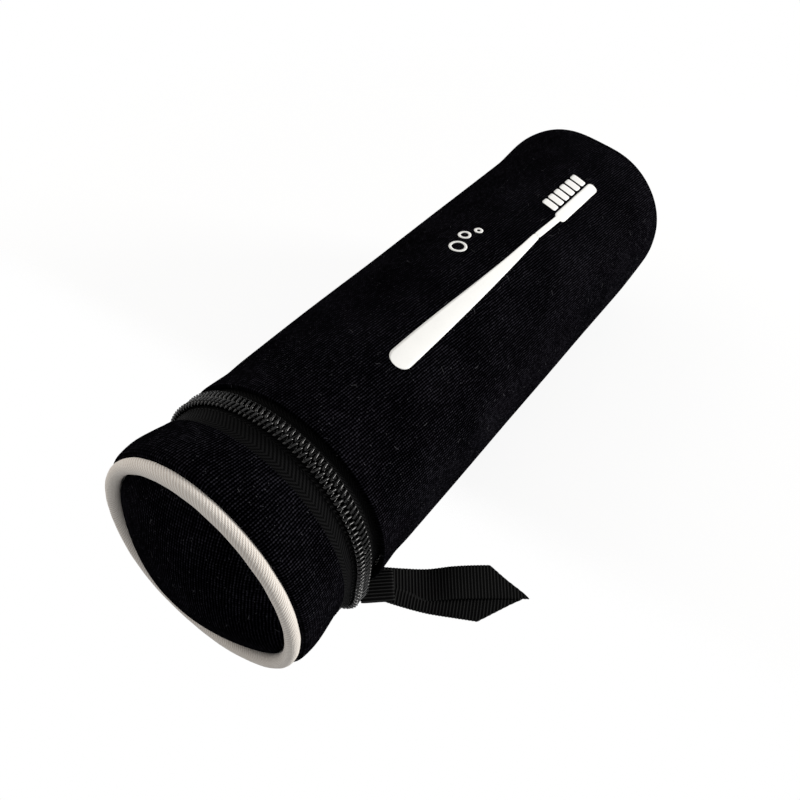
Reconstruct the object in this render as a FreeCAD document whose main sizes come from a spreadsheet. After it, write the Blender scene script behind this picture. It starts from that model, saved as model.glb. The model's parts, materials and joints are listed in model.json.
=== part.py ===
"""Round padded zip case, lying on its side with the lid end towards -Y.

The tube axis runs along Y. Every ring is drawn about that axis, with y counted from the zip's
centre line and r from the axis, and is then set down at zip_y and axis_height.
Angles round the tube are counted from the top, positive towards +X.
The origin is the middle of the flat that the body rests on.
"""
import FreeCAD
import Part
import Sketcher
import math
import os

SIZES = {
    # body and lid
    "case_radius": 36.0,
    "rest_sag": 0.9,
    "rest_clearance": 0.1,
    "body_length": 193.0,
    "lid_length": 26.0,
    "lid_straight": 8.4,
    "lid_draw": 0.8,
    "lid_crown": 9.0,
    "lid_pad_rim": 2.0,
    "base_shoulder": 5.0,
    "base_crown": 4.0,
    # fabric layers
    "shell_wall": 0.9,
    "foam_wall": 3.0,
    "lining_wall": 0.6,
    "layer_gap": 0.1,
    "piping_radius": 2.2,
    "piping_wall": 0.6,
    # zip
    "tape_wall": 0.6,
    "tape_seam": 3.0,
    "tape_show_body": 4.0,
    "tape_show_lid": 4.6,
    "coil_row": 2.5,
    "coil_split": 1.1,
    "coil_height": 2.0,
    "stop_length": 1.6,
    "hinge_half": 21.0,
    "hinge_gap": 0.4,
    "release_gap": 1.2,
    # slider
    "slider_length": 10.5,
    "slider_plate": 1.0,
    "slider_flange": 1.1,
    "slider_post": 0.5,
    "slider_gap": 0.3,
    "bail_radius": 2.8,
    "bail_wire": 0.6,
    # ribbon pull
    "stem_radius": 0.75,
    "stem_reach": 3.0,
    "ribbon_width": 10.0,
    "ribbon_wall": 0.5,
    "knot_x": 30.0,
    "knot_ahead": 15.0,
    "knot_length": 9.0,
    "knot_height": 4.7,
    "knot_lift": 0.3,
    "knot_turn": 31.0,
    "knot_round": 1.6,
    "gather_radius": 1.9,
    "gather_shift": 0.6,
    "front_tail_turn": 37.5,
    "front_tail_shift": 1.2,
    "back_tail_turn": 25.0,
    "back_tail_shift": 0.4,
    "tail_long": 44.5,
    "front_tail_short": 34.0,
    "back_tail_short": 29.0,
}

LAYOUT = [
    # where the tube lies
    ("axis_height", "Sizes.case_radius - Sizes.rest_sag"),
    ("lid_radius", "axis_height - Sizes.rest_clearance"),
    # body layers, from the outside in
    ("shell_inner", "Sizes.case_radius - Sizes.shell_wall"),
    ("shell_inner_flat", "axis_height - Sizes.shell_wall"),
    ("flat_half", "sqrt(Sizes.case_radius ^ 2 - axis_height ^ 2)"),
    ("shell_inner_half", "sqrt(shell_inner ^ 2 - shell_inner_flat ^ 2)"),
    ("foam_outer", "shell_inner - Sizes.layer_gap"),
    ("foam_flat", "shell_inner_flat - Sizes.layer_gap"),
    ("foam_half", "sqrt(foam_outer ^ 2 - foam_flat ^ 2)"),
    ("foam_inner", "foam_outer - Sizes.foam_wall"),
    ("lining_outer", "foam_inner - Sizes.layer_gap"),
    ("lining_inner", "lining_outer - Sizes.lining_wall"),
    # zip section
    ("tape_outer", "lid_radius - Sizes.shell_wall - Sizes.layer_gap"),
    ("tape_inner", "tape_outer - Sizes.tape_wall"),
    ("step_outer", "tape_inner - Sizes.layer_gap"),
    ("coil_inner", "tape_outer + Sizes.layer_gap"),
    ("coil_outer", "tape_outer + Sizes.coil_height"),
    ("split_half", "Sizes.coil_split / 2"),
    ("chain_half", "split_half + Sizes.coil_row"),
    ("body_mouth", "chain_half + Sizes.tape_show_body"),
    ("lid_mouth", "chain_half + Sizes.tape_show_lid"),
    ("body_tape_edge", "body_mouth + Sizes.tape_seam"),
    ("lid_tape_edge", "lid_mouth + Sizes.tape_seam"),
    ("end_tape_edge", "lid_mouth - Sizes.slider_gap"),
    ("body_step", "body_tape_edge + Sizes.layer_gap"),
    ("lid_step", "lid_tape_edge + Sizes.layer_gap"),
    ("zip_y", "-(body_mouth + Sizes.body_length) / 2"),
    ("shell_length", "Sizes.body_length - body_mouth"),
    ("foam_length", "Sizes.body_length - body_step"),
    ("step_length", "body_step - body_mouth"),
    ("hinge_gap_half", "Sizes.hinge_gap / 2"),
    # zip angles
    ("degrees_per_mm", "180 / (pi * coil_outer)"),
    ("slider_angle", "Sizes.slider_length * degrees_per_mm"),
    ("slider_nose_angle", "slider_angle / 2"),
    ("stop_angle", "Sizes.stop_length * degrees_per_mm"),
    ("gap_angle", "Sizes.layer_gap * degrees_per_mm"),
    ("slider_gap_angle", "Sizes.slider_gap * degrees_per_mm"),
    ("half_turn", "180"),
    ("hinge_span", "2 * Sizes.hinge_half"),
    ("zip_half", "180 - Sizes.hinge_half - slider_gap_angle"),
    ("zip_span", "2 * zip_half"),
    ("stop_centre", "zip_half - stop_angle / 2"),
    ("coil_half", "zip_half - stop_angle - gap_angle"),
    ("coil_span", "2 * coil_half"),
    ("slider_park", "coil_half - slider_gap_angle - slider_nose_angle"),
    ("end_start", "slider_park - slider_nose_angle"),
    ("free_half", "end_start - Sizes.release_gap * degrees_per_mm"),
    ("free_span", "2 * free_half"),
    ("tape_end_span", "zip_half - end_start"),
    ("tape_end_centre", "(zip_half + end_start) / 2"),
    ("coil_end_span", "coil_half - end_start"),
    ("coil_end_centre", "(coil_half + end_start) / 2"),
    # base end
    ("base_seam", "Sizes.body_length + Sizes.layer_gap"),
    ("base_flat_radius", "lid_radius - Sizes.base_shoulder"),
    ("base_edge", "base_seam + Sizes.base_shoulder"),
    ("base_top", "base_edge + Sizes.base_crown"),
    ("base_crown_radius", "(base_flat_radius ^ 2 + Sizes.base_crown ^ 2) / (2 * Sizes.base_crown)"),
    ("base_inner_radius", "lid_radius - Sizes.shell_wall"),
    ("base_inner_shoulder", "Sizes.base_shoulder - Sizes.shell_wall"),
    ("base_inner_edge", "base_edge - Sizes.shell_wall"),
    ("base_inner_top", "base_top - Sizes.shell_wall"),
    ("base_foam_radius", "base_inner_radius - Sizes.layer_gap"),
    ("base_foam_shoulder", "base_inner_shoulder - Sizes.layer_gap"),
    ("base_foam_edge", "base_inner_edge - Sizes.layer_gap"),
    ("base_foam_top", "base_inner_top - Sizes.layer_gap"),
    ("base_lining_face", "Sizes.body_length - Sizes.lining_wall"),
    ("body_lining_end", "base_lining_face - Sizes.layer_gap"),
    # lid end
    ("piping_ring", "lid_radius - Sizes.piping_radius"),
    ("cord_radius", "Sizes.piping_radius - Sizes.piping_wall - Sizes.layer_gap"),
    ("cover_bore", "Sizes.piping_radius - Sizes.piping_wall"),
    ("panel_rim", "piping_ring - Sizes.piping_radius - Sizes.layer_gap"),
    ("lid_top", "Sizes.lid_length + Sizes.lid_crown"),
    ("lid_crown_radius", "(panel_rim ^ 2 + Sizes.lid_crown ^ 2) / (2 * Sizes.lid_crown)"),
    ("panel_back", "Sizes.lid_length - Sizes.shell_wall"),
    ("panel_back_top", "lid_top - Sizes.shell_wall"),
    ("lid_pad_front", "panel_back - Sizes.layer_gap"),
    ("lid_pad_top", "panel_back_top - Sizes.layer_gap"),
    ("lid_pad_back", "lid_pad_front - Sizes.lid_pad_rim"),
    ("lid_disc_front", "lid_pad_back - Sizes.layer_gap"),
    ("lid_disc_back", "lid_disc_front - Sizes.lining_wall"),
    ("lid_lining_end", "lid_disc_back - Sizes.layer_gap"),
    ("lid_shell_end", "Sizes.lid_length - Sizes.piping_radius - Sizes.layer_gap"),
    ("lid_bend", "lid_mouth + Sizes.lid_straight"),
    ("lid_seam_radius", "lid_radius - Sizes.lid_draw"),
    ("lid_bend_radius", "((lid_shell_end - lid_bend) ^ 2 + Sizes.lid_draw ^ 2) / (2 * Sizes.lid_draw)"),
    ("lid_inner", "lid_radius - Sizes.shell_wall"),
    ("lid_seam_inner", "lid_seam_radius - Sizes.shell_wall"),
    ("lid_foam_outer", "lid_inner - Sizes.layer_gap"),
    ("lid_foam_seam", "lid_seam_inner - Sizes.layer_gap"),
    # slider section
    ("plate_in", "coil_outer + Sizes.slider_gap"),
    ("plate_out", "plate_in + Sizes.slider_plate"),
    ("flange_in", "tape_outer + Sizes.slider_gap"),
    ("lower_out", "tape_inner - Sizes.slider_gap"),
    ("lower_in", "lower_out - Sizes.slider_plate"),
    ("channel_half", "chain_half + Sizes.slider_gap"),
    ("slider_half", "channel_half + Sizes.slider_flange"),
    ("post_half", "Sizes.slider_post / 2"),
    # ribbon
    ("eye_radius", "plate_out + Sizes.slider_gap + Sizes.stem_radius"),
    ("eye_x", "eye_radius * sin(slider_park * 1deg)"),
    ("eye_z", "axis_height + eye_radius * cos(slider_park * 1deg)"),
    ("stem_end", "slider_half + Sizes.slider_gap"),
    ("stem_length", "Sizes.stem_reach + stem_end"),
    ("gather_end", "Sizes.knot_ahead - Sizes.knot_length / 2"),
    ("gather_x", "Sizes.knot_x - Sizes.gather_shift"),
    ("gather_z", "Sizes.knot_lift + Sizes.knot_height / 2"),
    ("knot_half_length", "Sizes.knot_length / 2"),
    ("ribbon_half", "Sizes.ribbon_width / 2"),
    ("front_tail_z", "Sizes.rest_clearance + Sizes.ribbon_wall"),
    ("front_tail_left", "ribbon_half + Sizes.front_tail_shift"),
    ("front_tail_right", "ribbon_half - Sizes.front_tail_shift"),
    ("back_tail_left", "ribbon_half + Sizes.back_tail_shift"),
    ("back_tail_right", "ribbon_half - Sizes.back_tail_shift"),
]

doc = FreeCAD.newDocument("zip_case")
sizes = doc.addObject("Spreadsheet::Sheet", "Sizes")
for row, (name, number) in enumerate(SIZES.items(), start=1):
    sizes.set(f"A{row}", name)
    sizes.set(f"B{row}", str(number))
    sizes.setAlias(f"B{row}", name)
doc.recompute()
layout = doc.addObject("Spreadsheet::Sheet", "Layout")
for row, (name, formula) in enumerate(LAYOUT, start=1):
    layout.set(f"A{row}", name)
    layout.set(f"B{row}", "=" + formula)
    layout.setAlias(f"B{row}", name)
    doc.recompute()


def cell(name):
    """Spreadsheet reference of a named size, with a leading minus kept."""
    word = name.lstrip("-")
    sheet = "Sizes" if word in SIZES else "Layout"
    return name[: len(name) - len(word)] + sheet + "." + word


def amount(name):
    """Number that a named size has now."""
    word = name.lstrip("-")
    number = float(getattr(sizes if word in SIZES else layout, word))
    return -number if name.startswith("-") else number


def new_body(name, height="axis_height", turn=None):
    """Empty body set down on the tube axis, turned about it by a named angle from the top."""
    body = doc.addObject("PartDesign::Body", name)
    body.Label = name
    if turn:
        body.Placement = FreeCAD.Placement(
            FreeCAD.Vector(), FreeCAD.Rotation(FreeCAD.Vector(0, 1, 0), amount(turn)))
        body.setExpression("Placement.Rotation.Angle", cell(turn))
    body.setExpression("Placement.Base.y", cell("zip_y"))
    if height:
        body.setExpression("Placement.Base.z", cell(height))
    return body


def new_sketch(body, plane, offset=None):
    """Sketch on one of the body's own planes, moved along its normal by a named distance."""
    sketch = body.newObject("Sketcher::SketchObject", body.Name + "_sketch")
    support = [item for item in body.Origin.OriginFeatures if item.Role == plane]
    sketch.AttachmentSupport = [(support[0], "")]
    sketch.MapMode = "FlatFace"
    if offset:
        sketch.setExpression("AttachmentOffset.Base.z", cell(offset))
    return sketch


def pin(sketch, geometry, end, kind, name):
    """Ties one coordinate of a sketch point to a named size, or to the axis where name is 0."""
    if name == "0":
        axis = -2 if kind == "DistanceX" else -1
        sketch.addConstraint(Sketcher.Constraint("PointOnObject", geometry, end, axis))
        return
    index = sketch.addConstraint(
        Sketcher.Constraint(kind, -1, 1, geometry, end, amount(name)))
    sketch.setExpression(f"Constraints[{index}]", cell(name))


def point(corner):
    """Sketch point of a corner's two named coordinates."""
    numbers = [0.0 if name == "0" else amount(name) for name in corner[:2]]
    return FreeCAD.Vector(numbers[0], numbers[1], 0)


def arc(start, end, radius, turn):
    """Arc of under half a circle between two points, turning left (1) or right (-1)."""
    chord = end - start
    half = chord.Length / 2
    across = FreeCAD.Vector(-chord.y, chord.x, 0).normalize()
    centre = (start + end) * 0.5 + across * (turn * math.sqrt(radius ** 2 - half ** 2))
    first, last = (start, end) if turn > 0 else (end, start)
    angles = [math.atan2(p.y - centre.y, p.x - centre.x) for p in (first, last)]
    circle = Part.Circle(centre, FreeCAD.Vector(0, 0, 1), radius)
    return Part.ArcOfCircle(circle, angles[0], angles[1])


def outline(sketch, corners):
    """Closed outline through named corners; a corner with a radius is reached by an arc."""
    edges = []
    for index, corner in enumerate(corners):
        start = point(corners[index - 1])
        end = point(corner)
        if len(corner) == 2:
            edges.append((sketch.addGeometry(Part.LineSegment(start, end)), 1, 2))
            continue
        radius, turn = corner[2:]
        number = sketch.addGeometry(arc(start, end, amount(radius), turn))
        edges.append((number, 1, 2) if turn > 0 else (number, 2, 1))
        limit = sketch.addConstraint(Sketcher.Constraint("Radius", number, amount(radius)))
        sketch.setExpression(f"Constraints[{limit}]", cell(radius))
    for index, (number, start, end) in enumerate(edges):
        before = edges[index - 1]
        sketch.addConstraint(Sketcher.Constraint("Coincident", before[0], before[2], number, start))
        pin(sketch, number, start, "DistanceX", corners[index - 1][0])
        pin(sketch, number, start, "DistanceY", corners[index - 1][1])


def hole(sketch, radius, x="0", y="0"):
    """Circle of a named radius at a named place."""
    number = sketch.addGeometry(
        Part.Circle(point((x, y)), FreeCAD.Vector(0, 0, 1), amount(radius)))
    pin(sketch, number, 3, "DistanceX", x)
    pin(sketch, number, 3, "DistanceY", y)
    limit = sketch.addConstraint(Sketcher.Constraint("Radius", number, amount(radius)))
    sketch.setExpression(f"Constraints[{limit}]", cell(radius))


def turn_solid(body, sketch, axis="H_Axis", span=None, one_side=False, backwards=False):
    """Revolves a sketch about one of its axes, all round or over a named angle."""
    feature = body.newObject("PartDesign::Revolution", body.Name + "_turn")
    feature.Profile = sketch
    feature.ReferenceAxis = (sketch, [axis])
    feature.Angle = 360
    if span:
        feature.Midplane = not one_side
        feature.setExpression("Angle", cell(span))
    feature.Reversed = backwards
    return feature


def pad(body, sketch, length, backwards=False):
    """Extrudes a sketch by a named length."""
    feature = body.newObject("PartDesign::Pad", body.Name + "_pad")
    feature.Profile = sketch
    feature.setExpression("Length", cell(length))
    feature.Reversed = backwards
    return feature


def ring(name, corners, span=None, turn=None):
    """Ring of one section, all round the tube or over a named angle about a named turn."""
    body = new_body(name, turn=turn)
    sketch = new_sketch(body, "YZ_Plane")
    outline(sketch, corners)
    turn_solid(body, sketch, span=span)


def section(front, back, inner, outer):
    """Rectangular ring section between two places along the tube and two radii."""
    return [(front, inner), (front, outer), (back, outer), (back, inner)]


def flattened_outline(sketch, radius, flat, half):
    """Round outline of two arcs that meet at the top, with the flat it rests on at its foot."""
    outline(sketch, [
        (half, "-" + flat),
        ("0", radius, radius, 1),
        ("-" + half, "-" + flat, radius, 1),
    ])


# Body tube: twill shell, foam and lining, with the flat worn into the shell and the foam.
body_shell = new_body("body_shell")
shell_sketch = new_sketch(body_shell, "XZ_Plane", "-body_mouth")
flattened_outline(shell_sketch, "case_radius", "axis_height", "flat_half")
flattened_outline(shell_sketch, "shell_inner", "shell_inner_flat", "shell_inner_half")
pad(body_shell, shell_sketch, "shell_length", backwards=True)

body_foam = new_body("body_foam")
foam_sketch = new_sketch(body_foam, "XZ_Plane", "-body_step")
flattened_outline(foam_sketch, "foam_outer", "foam_flat", "foam_half")
hole(foam_sketch, "foam_inner")
pad(body_foam, foam_sketch, "foam_length", backwards=True)
step_sketch = new_sketch(body_foam, "XZ_Plane", "-body_mouth")
hole(step_sketch, "step_outer")
hole(step_sketch, "foam_inner")
pad(body_foam, step_sketch, "step_length", backwards=True)

ring("body_lining", section("body_mouth", "body_lining_end", "lining_inner", "lining_outer"))

# Base: crowned outer panel with a rounded shoulder, its foam and its lining disc.
ring("base_panel", [
    ("base_seam", "lid_radius"),
    ("base_edge", "base_flat_radius", "base_shoulder", -1),
    ("base_top", "0", "base_crown_radius", -1),
    ("base_inner_top", "0"),
    ("base_inner_edge", "base_flat_radius", "base_crown_radius", 1),
    ("base_seam", "base_inner_radius", "base_inner_shoulder", 1),
])
ring("base_foam", [
    ("base_seam", "0"),
    ("base_seam", "base_foam_radius"),
    ("base_foam_edge", "base_flat_radius", "base_foam_shoulder", -1),
    ("base_foam_top", "0", "base_crown_radius", -1),
])
ring("base_lining", section("base_lining_face", "body_length", "0", "lining_outer"))

# Lid tube: shell drawn in towards the piping, foam stepped under the zip tape, and lining.
ring("lid_shell", [
    ("-lid_mouth", "lid_inner"),
    ("-lid_mouth", "lid_radius"),
    ("-lid_bend", "lid_radius"),
    ("-lid_shell_end", "lid_seam_radius", "lid_bend_radius", 1),
    ("-lid_shell_end", "lid_seam_inner"),
    ("-lid_bend", "lid_inner", "lid_bend_radius", -1),
])
ring("lid_foam", [
    ("-lid_mouth", "foam_inner"),
    ("-lid_mouth", "step_outer"),
    ("-lid_step", "step_outer"),
    ("-lid_step", "lid_foam_outer"),
    ("-lid_bend", "lid_foam_outer"),
    ("-lid_shell_end", "lid_foam_seam", "lid_bend_radius", 1),
    ("-lid_shell_end", "foam_inner"),
])
ring("lid_lining", section("-lid_lining_end", "-lid_mouth", "lining_inner", "lining_outer"))

# Lid end: crowned panel over a pad with a flat back, closed inside by a lining disc.
ring("lid_end_panel", [
    ("-lid_length", "panel_rim"),
    ("-lid_top", "0", "lid_crown_radius", 1),
    ("-panel_back_top", "0"),
    ("-panel_back", "panel_rim", "lid_crown_radius", -1),
])
ring("lid_end_foam", [
    ("-lid_pad_back", "0"),
    ("-lid_pad_back", "panel_rim"),
    ("-lid_pad_front", "panel_rim"),
    ("-lid_pad_top", "0", "lid_crown_radius", 1),
])
ring("lid_end_lining", section("-lid_disc_front", "-lid_disc_back", "0", "lining_outer"))

# Piping round the lid end: a cord inside a folded strip of twill.
piping_cover = new_body("lid_piping_cover")
cover_sketch = new_sketch(piping_cover, "YZ_Plane")
hole(cover_sketch, "piping_radius", "-lid_length", "piping_ring")
hole(cover_sketch, "cover_bore", "-lid_length", "piping_ring")
turn_solid(piping_cover, cover_sketch)
piping_cord = new_body("lid_piping_cord")
cord_sketch = new_sketch(piping_cord, "YZ_Plane")
hole(cord_sketch, "cord_radius", "-lid_length", "piping_ring")
turn_solid(piping_cord, cord_sketch)

# Zip: a tape and a coil row on each side of the split. Where the slider parks at each end,
# the lid's tape and coil stay with the body, as the sewn-down ends of the zip do.
ring("zip_tape_body", section("split_half", "body_tape_edge", "tape_inner", "tape_outer"), "zip_span")
ring("zip_coil_body", section("split_half", "chain_half", "coil_inner", "coil_outer"), "coil_span")
LID_TAPE = section("-lid_tape_edge", "-split_half", "tape_inner", "tape_outer")
END_TAPE = section("-end_tape_edge", "-split_half", "tape_inner", "tape_outer")
LID_COIL = section("-chain_half", "-split_half", "coil_inner", "coil_outer")
STOP_BAR = section("-chain_half", "chain_half", "coil_inner", "coil_outer")
ring("zip_tape_lid", LID_TAPE, "free_span")
ring("zip_coil_lid", LID_COIL, "free_span")
for end, side in (("closed", ""), ("open", "-")):
    ring(f"zip_tape_{end}_end", END_TAPE, "tape_end_span", side + "tape_end_centre")
    ring(f"zip_coil_{end}_end", LID_COIL, "coil_end_span", side + "coil_end_centre")
    ring(f"zip_stop_{end}_end", STOP_BAR, "stop_angle", side + "stop_centre")

# Fabric hinge at the foot of the zip, one leaf on each side of the fold.
ring("hinge_leaf_body", section("hinge_gap_half", "body_tape_edge", "tape_inner", "tape_outer"),
     "hinge_span", "half_turn")
ring("hinge_leaf_lid", section("-lid_tape_edge", "-hinge_gap_half", "tape_inner", "tape_outer"),
     "hinge_span", "half_turn")

# Slider: lower plate, post at the nose, and upper plate with flanges over the coil.
slider = new_body("slider_body", turn="slider_park")
nose_sketch = new_sketch(slider, "YZ_Plane")
RIGHT_SIDE = [
    ("slider_half", "lower_in"),
    ("slider_half", "lower_out"),
    ("post_half", "lower_out"),
    ("post_half", "plate_in"),
    ("channel_half", "plate_in"),
    ("channel_half", "flange_in"),
    ("slider_half", "flange_in"),
    ("slider_half", "plate_out"),
]
outline(nose_sketch, RIGHT_SIDE + [("-" + y, r) for y, r in reversed(RIGHT_SIDE)])
turn_solid(slider, nose_sketch, span="slider_nose_angle", one_side=True)
plates_sketch = new_sketch(slider, "YZ_Plane")
outline(plates_sketch, section("-slider_half", "slider_half", "lower_in", "lower_out"))
UPPER_SIDE = RIGHT_SIDE[4:]
outline(plates_sketch, UPPER_SIDE + [("-" + y, r) for y, r in reversed(UPPER_SIDE)])
turn_solid(slider, plates_sketch, span="slider_angle")

bail = new_body("slider_bail", turn="slider_park")
bail_sketch = new_sketch(bail, "XY_Plane", "plate_out")
hole(bail_sketch, "bail_wire", "bail_radius", "0")
turn_solid(bail, bail_sketch, axis="V_Axis", span="half_turn", one_side=True, backwards=True)

# Ribbon pull: hitched into a flat knot, gathered through the bail, with two slant-cut tails.
ribbon = new_body("ribbon_pull", height=None)


def ribbon_piece(corners, lift, turn, height):
    """Flat piece of ribbon about the knot's middle, at a named height and turn."""
    sketch = new_sketch(ribbon, "XY_Plane", lift)
    sketch.AttachmentOffset = FreeCAD.Placement(
        FreeCAD.Vector(0, 0, amount(lift)),
        FreeCAD.Rotation(FreeCAD.Vector(0, 0, 1), amount(turn)))
    sketch.setExpression("AttachmentOffset.Base.x", cell("knot_x"))
    sketch.setExpression("AttachmentOffset.Base.y", cell("knot_ahead"))
    sketch.setExpression("AttachmentOffset.Rotation.Angle", cell(turn))
    outline(sketch, corners)
    return pad(ribbon, sketch, height)


knot = ribbon_piece([
    ("-knot_half_length", "-ribbon_half"),
    ("knot_half_length", "-ribbon_half"),
    ("knot_half_length", "ribbon_half"),
    ("-knot_half_length", "ribbon_half"),
], "knot_lift", "knot_turn", "knot_height")
doc.recompute()
rounding = ribbon.newObject("PartDesign::Fillet", "ribbon_round")
rounding.Base = (knot, [f"Edge{number}" for number in range(1, len(knot.Shape.Edges) + 1)])
rounding.setExpression("Radius", cell("knot_round"))

gather = ribbon.newObject("PartDesign::AdditiveLoft", "ribbon_gather")
gather_start = new_sketch(ribbon, "XZ_Plane", "-stem_end")
hole(gather_start, "stem_radius", "eye_x", "eye_z")
gather_stop = new_sketch(ribbon, "XZ_Plane", "-gather_end")
hole(gather_stop, "gather_radius", "gather_x", "gather_z")
gather.Profile = gather_start
gather.Sections = [gather_stop]
stem_sketch = new_sketch(ribbon, "XZ_Plane", "stem_reach")
hole(stem_sketch, "stem_radius", "eye_x", "eye_z")
pad(ribbon, stem_sketch, "stem_length", backwards=True)
ribbon_piece([
    ("0", "-back_tail_right"),
    ("back_tail_short", "-back_tail_right"),
    ("tail_long", "back_tail_left"),
    ("0", "back_tail_left"),
], "rest_clearance", "back_tail_turn", "ribbon_wall")
ribbon_piece([
    ("0", "-front_tail_right"),
    ("tail_long", "-front_tail_right"),
    ("front_tail_short", "front_tail_left"),
    ("0", "front_tail_left"),
], "front_tail_z", "front_tail_turn", "ribbon_wall")

# Every piece is rebuilt and tested before any file is written.
doc.recompute()
for item in doc.Objects:
    if "Invalid" in item.State or "Error" in item.State:
        raise RuntimeError(f"{item.Label} failed: {item.State}")
pieces = [item for item in doc.Objects if item.TypeId == "PartDesign::Body"]
for piece in pieces:
    if piece.Shape.isNull() or not piece.Shape.isValid() or len(piece.Shape.Solids) != 1:
        raise RuntimeError(f"{piece.Label} has no single valid solid")
os.makedirs("parts", exist_ok=True)
for piece in pieces:
    piece.Shape.exportStep(f"parts/{piece.Label}.step")
for name in ("zip_y", "axis_height", "tape_outer", "slider_park", "eye_x", "eye_z"):
    print(name, round(amount(name), 4))
print(len(pieces), "pieces")
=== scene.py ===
"""Round padded zip case for a toothbrush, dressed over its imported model. Units are metres."""
import json
import math

import bmesh
import bpy
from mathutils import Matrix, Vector, noise
from mathutils.bvhtree import BVHTree


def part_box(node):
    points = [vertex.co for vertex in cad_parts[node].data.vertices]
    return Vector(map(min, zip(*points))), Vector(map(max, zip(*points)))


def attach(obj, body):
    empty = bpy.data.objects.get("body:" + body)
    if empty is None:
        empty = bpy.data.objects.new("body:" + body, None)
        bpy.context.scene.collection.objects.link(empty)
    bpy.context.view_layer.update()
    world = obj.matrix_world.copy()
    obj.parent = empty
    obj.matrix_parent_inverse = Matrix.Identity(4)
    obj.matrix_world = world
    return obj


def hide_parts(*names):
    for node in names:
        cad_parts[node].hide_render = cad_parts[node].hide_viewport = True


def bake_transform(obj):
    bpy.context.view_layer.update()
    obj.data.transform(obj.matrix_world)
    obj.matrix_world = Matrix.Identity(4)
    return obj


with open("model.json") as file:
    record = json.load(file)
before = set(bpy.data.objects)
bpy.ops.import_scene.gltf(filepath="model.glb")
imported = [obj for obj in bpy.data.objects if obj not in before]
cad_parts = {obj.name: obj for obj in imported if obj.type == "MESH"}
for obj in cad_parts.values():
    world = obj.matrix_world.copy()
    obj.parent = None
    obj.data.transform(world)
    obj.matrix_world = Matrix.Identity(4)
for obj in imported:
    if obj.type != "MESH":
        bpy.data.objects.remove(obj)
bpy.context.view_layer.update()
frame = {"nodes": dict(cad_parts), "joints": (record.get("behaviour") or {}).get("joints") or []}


# Body cover: a tube of black cotton twill, turned under at the mouth and rolled in at the base seam.
# The foam behind it swells it between the seams, and its underside lies flat.
MM = 0.001
travel = next(joint for joint in frame["joints"] if joint["name"] == "slider_travel")
ZIP_Y, AXIS_Z = travel["pos_m"][1:]
shell_low, shell_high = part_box("body_shell")
BODY_RADIUS = shell_high.z - AXIS_Z
BODY_MOUTH = shell_low.y - ZIP_Y
BODY_END = shell_high.y - ZIP_Y
ROUND_STEPS = 128
COVER_WALL = 0.5 * MM
HEM_FOLD = 0.85 * MM
HEM_DEPTH = 8 * MM
HEM_RISE = 0.35 * MM
HEM_STITCH = 10 * MM
HEM_DIP = 0.3 * MM
HEM_WIDTH = 4 * MM
DIP_WIDTH = 3 * MM
SEAM_ROLL = 1.0 * MM
LEAN_SIDE = math.radians(-50)
LEAN_MOUTH = -0.4 * MM
LEAN_RISE = 1.2 / 175
END_SET = 1.6 * MM
END_SET_START = 172 * MM
END_SET_LENGTH = 26 * MM
END_DENT = 1.9 * MM
END_DENT_SIDE = math.radians(8)
END_DENT_WIDTH = math.radians(20)
END_FULL = 1.7 * MM
END_FULL_SIDE = math.radians(76)
END_FULL_WIDTH = math.radians(35)
SLACK = 0.3 * MM
SLACK_SIZE = 45 * MM
SWELL = 0.3 * MM


def smooth(share):
    """Eased step from 0 to 1."""
    share = min(max(share, 0.0), 1.0)
    return share * share * (3 - 2 * share)


def bump_at(distance, width):
    """Bell curve of a given width, 1 at its middle."""
    return math.exp(-(distance / width) ** 2)


def tube_point(along, radius, angle):
    """Point at a distance from the zip line, a radius and an angle from the top towards +X."""
    height = AXIS_Z + radius * math.cos(angle)
    return Vector((radius * math.sin(angle), ZIP_Y + along, max(height, 0.0)))


def ring_grid(section, place=tube_point, steps=ROUND_STEPS, start=-math.pi, end=math.pi):
    """Points of a section carried round the tube, one row for each angle."""
    whole = math.isclose(end - start, math.tau)
    angles = [start + (end - start) * row / steps for row in range(steps if whole else steps + 1)]
    return [[place(along, radius, angle) for along, radius in section(angle)] for angle in angles]


def placed(name, data):
    """New object in the scene."""
    piece = bpy.data.objects.new(name, data)
    bpy.context.scene.collection.objects.link(piece)
    return piece


def sheet_piece(name, grid, whole=True, loop=False, threads=None):
    """Mesh over a grid of points, closed round the rows or the columns where told.

    Its UV map holds the cloth laid flat, in millimetres, or what threads gives for a row and column.
    """
    rows, columns = len(grid), len(grid[0])
    row_spans = rows if whole else rows - 1
    column_spans = columns if loop else columns - 1
    middle = columns // 2
    pitch = sum((grid[row + 1][middle] - grid[row][middle]).length for row in range(rows - 1)) / (rows - 1)
    lengths = [0.0]
    for column in range(column_spans):
        gap = grid[0][(column + 1) % columns] - grid[0][column]
        lengths.append(lengths[-1] + gap.length / MM)
    faces, corners = [], []
    for row in range(row_spans):
        for column in range(column_spans):
            square = [(row, column), (row + 1, column), (row + 1, column + 1), (row, column + 1)]
            faces.append([(r % rows) * columns + c % columns for r, c in square])
            corners += [threads(r, c) if threads else (r * pitch / MM, lengths[c]) for r, c in square]
    mesh = bpy.data.meshes.new(name)
    mesh.from_pydata([point for row in grid for point in row], [], faces)
    flat = mesh.uv_layers.new(name="threads")
    for place, corner in zip(flat.data, corners):
        place.uv = corner
    mesh.shade_smooth()
    return placed(name, mesh)


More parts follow.
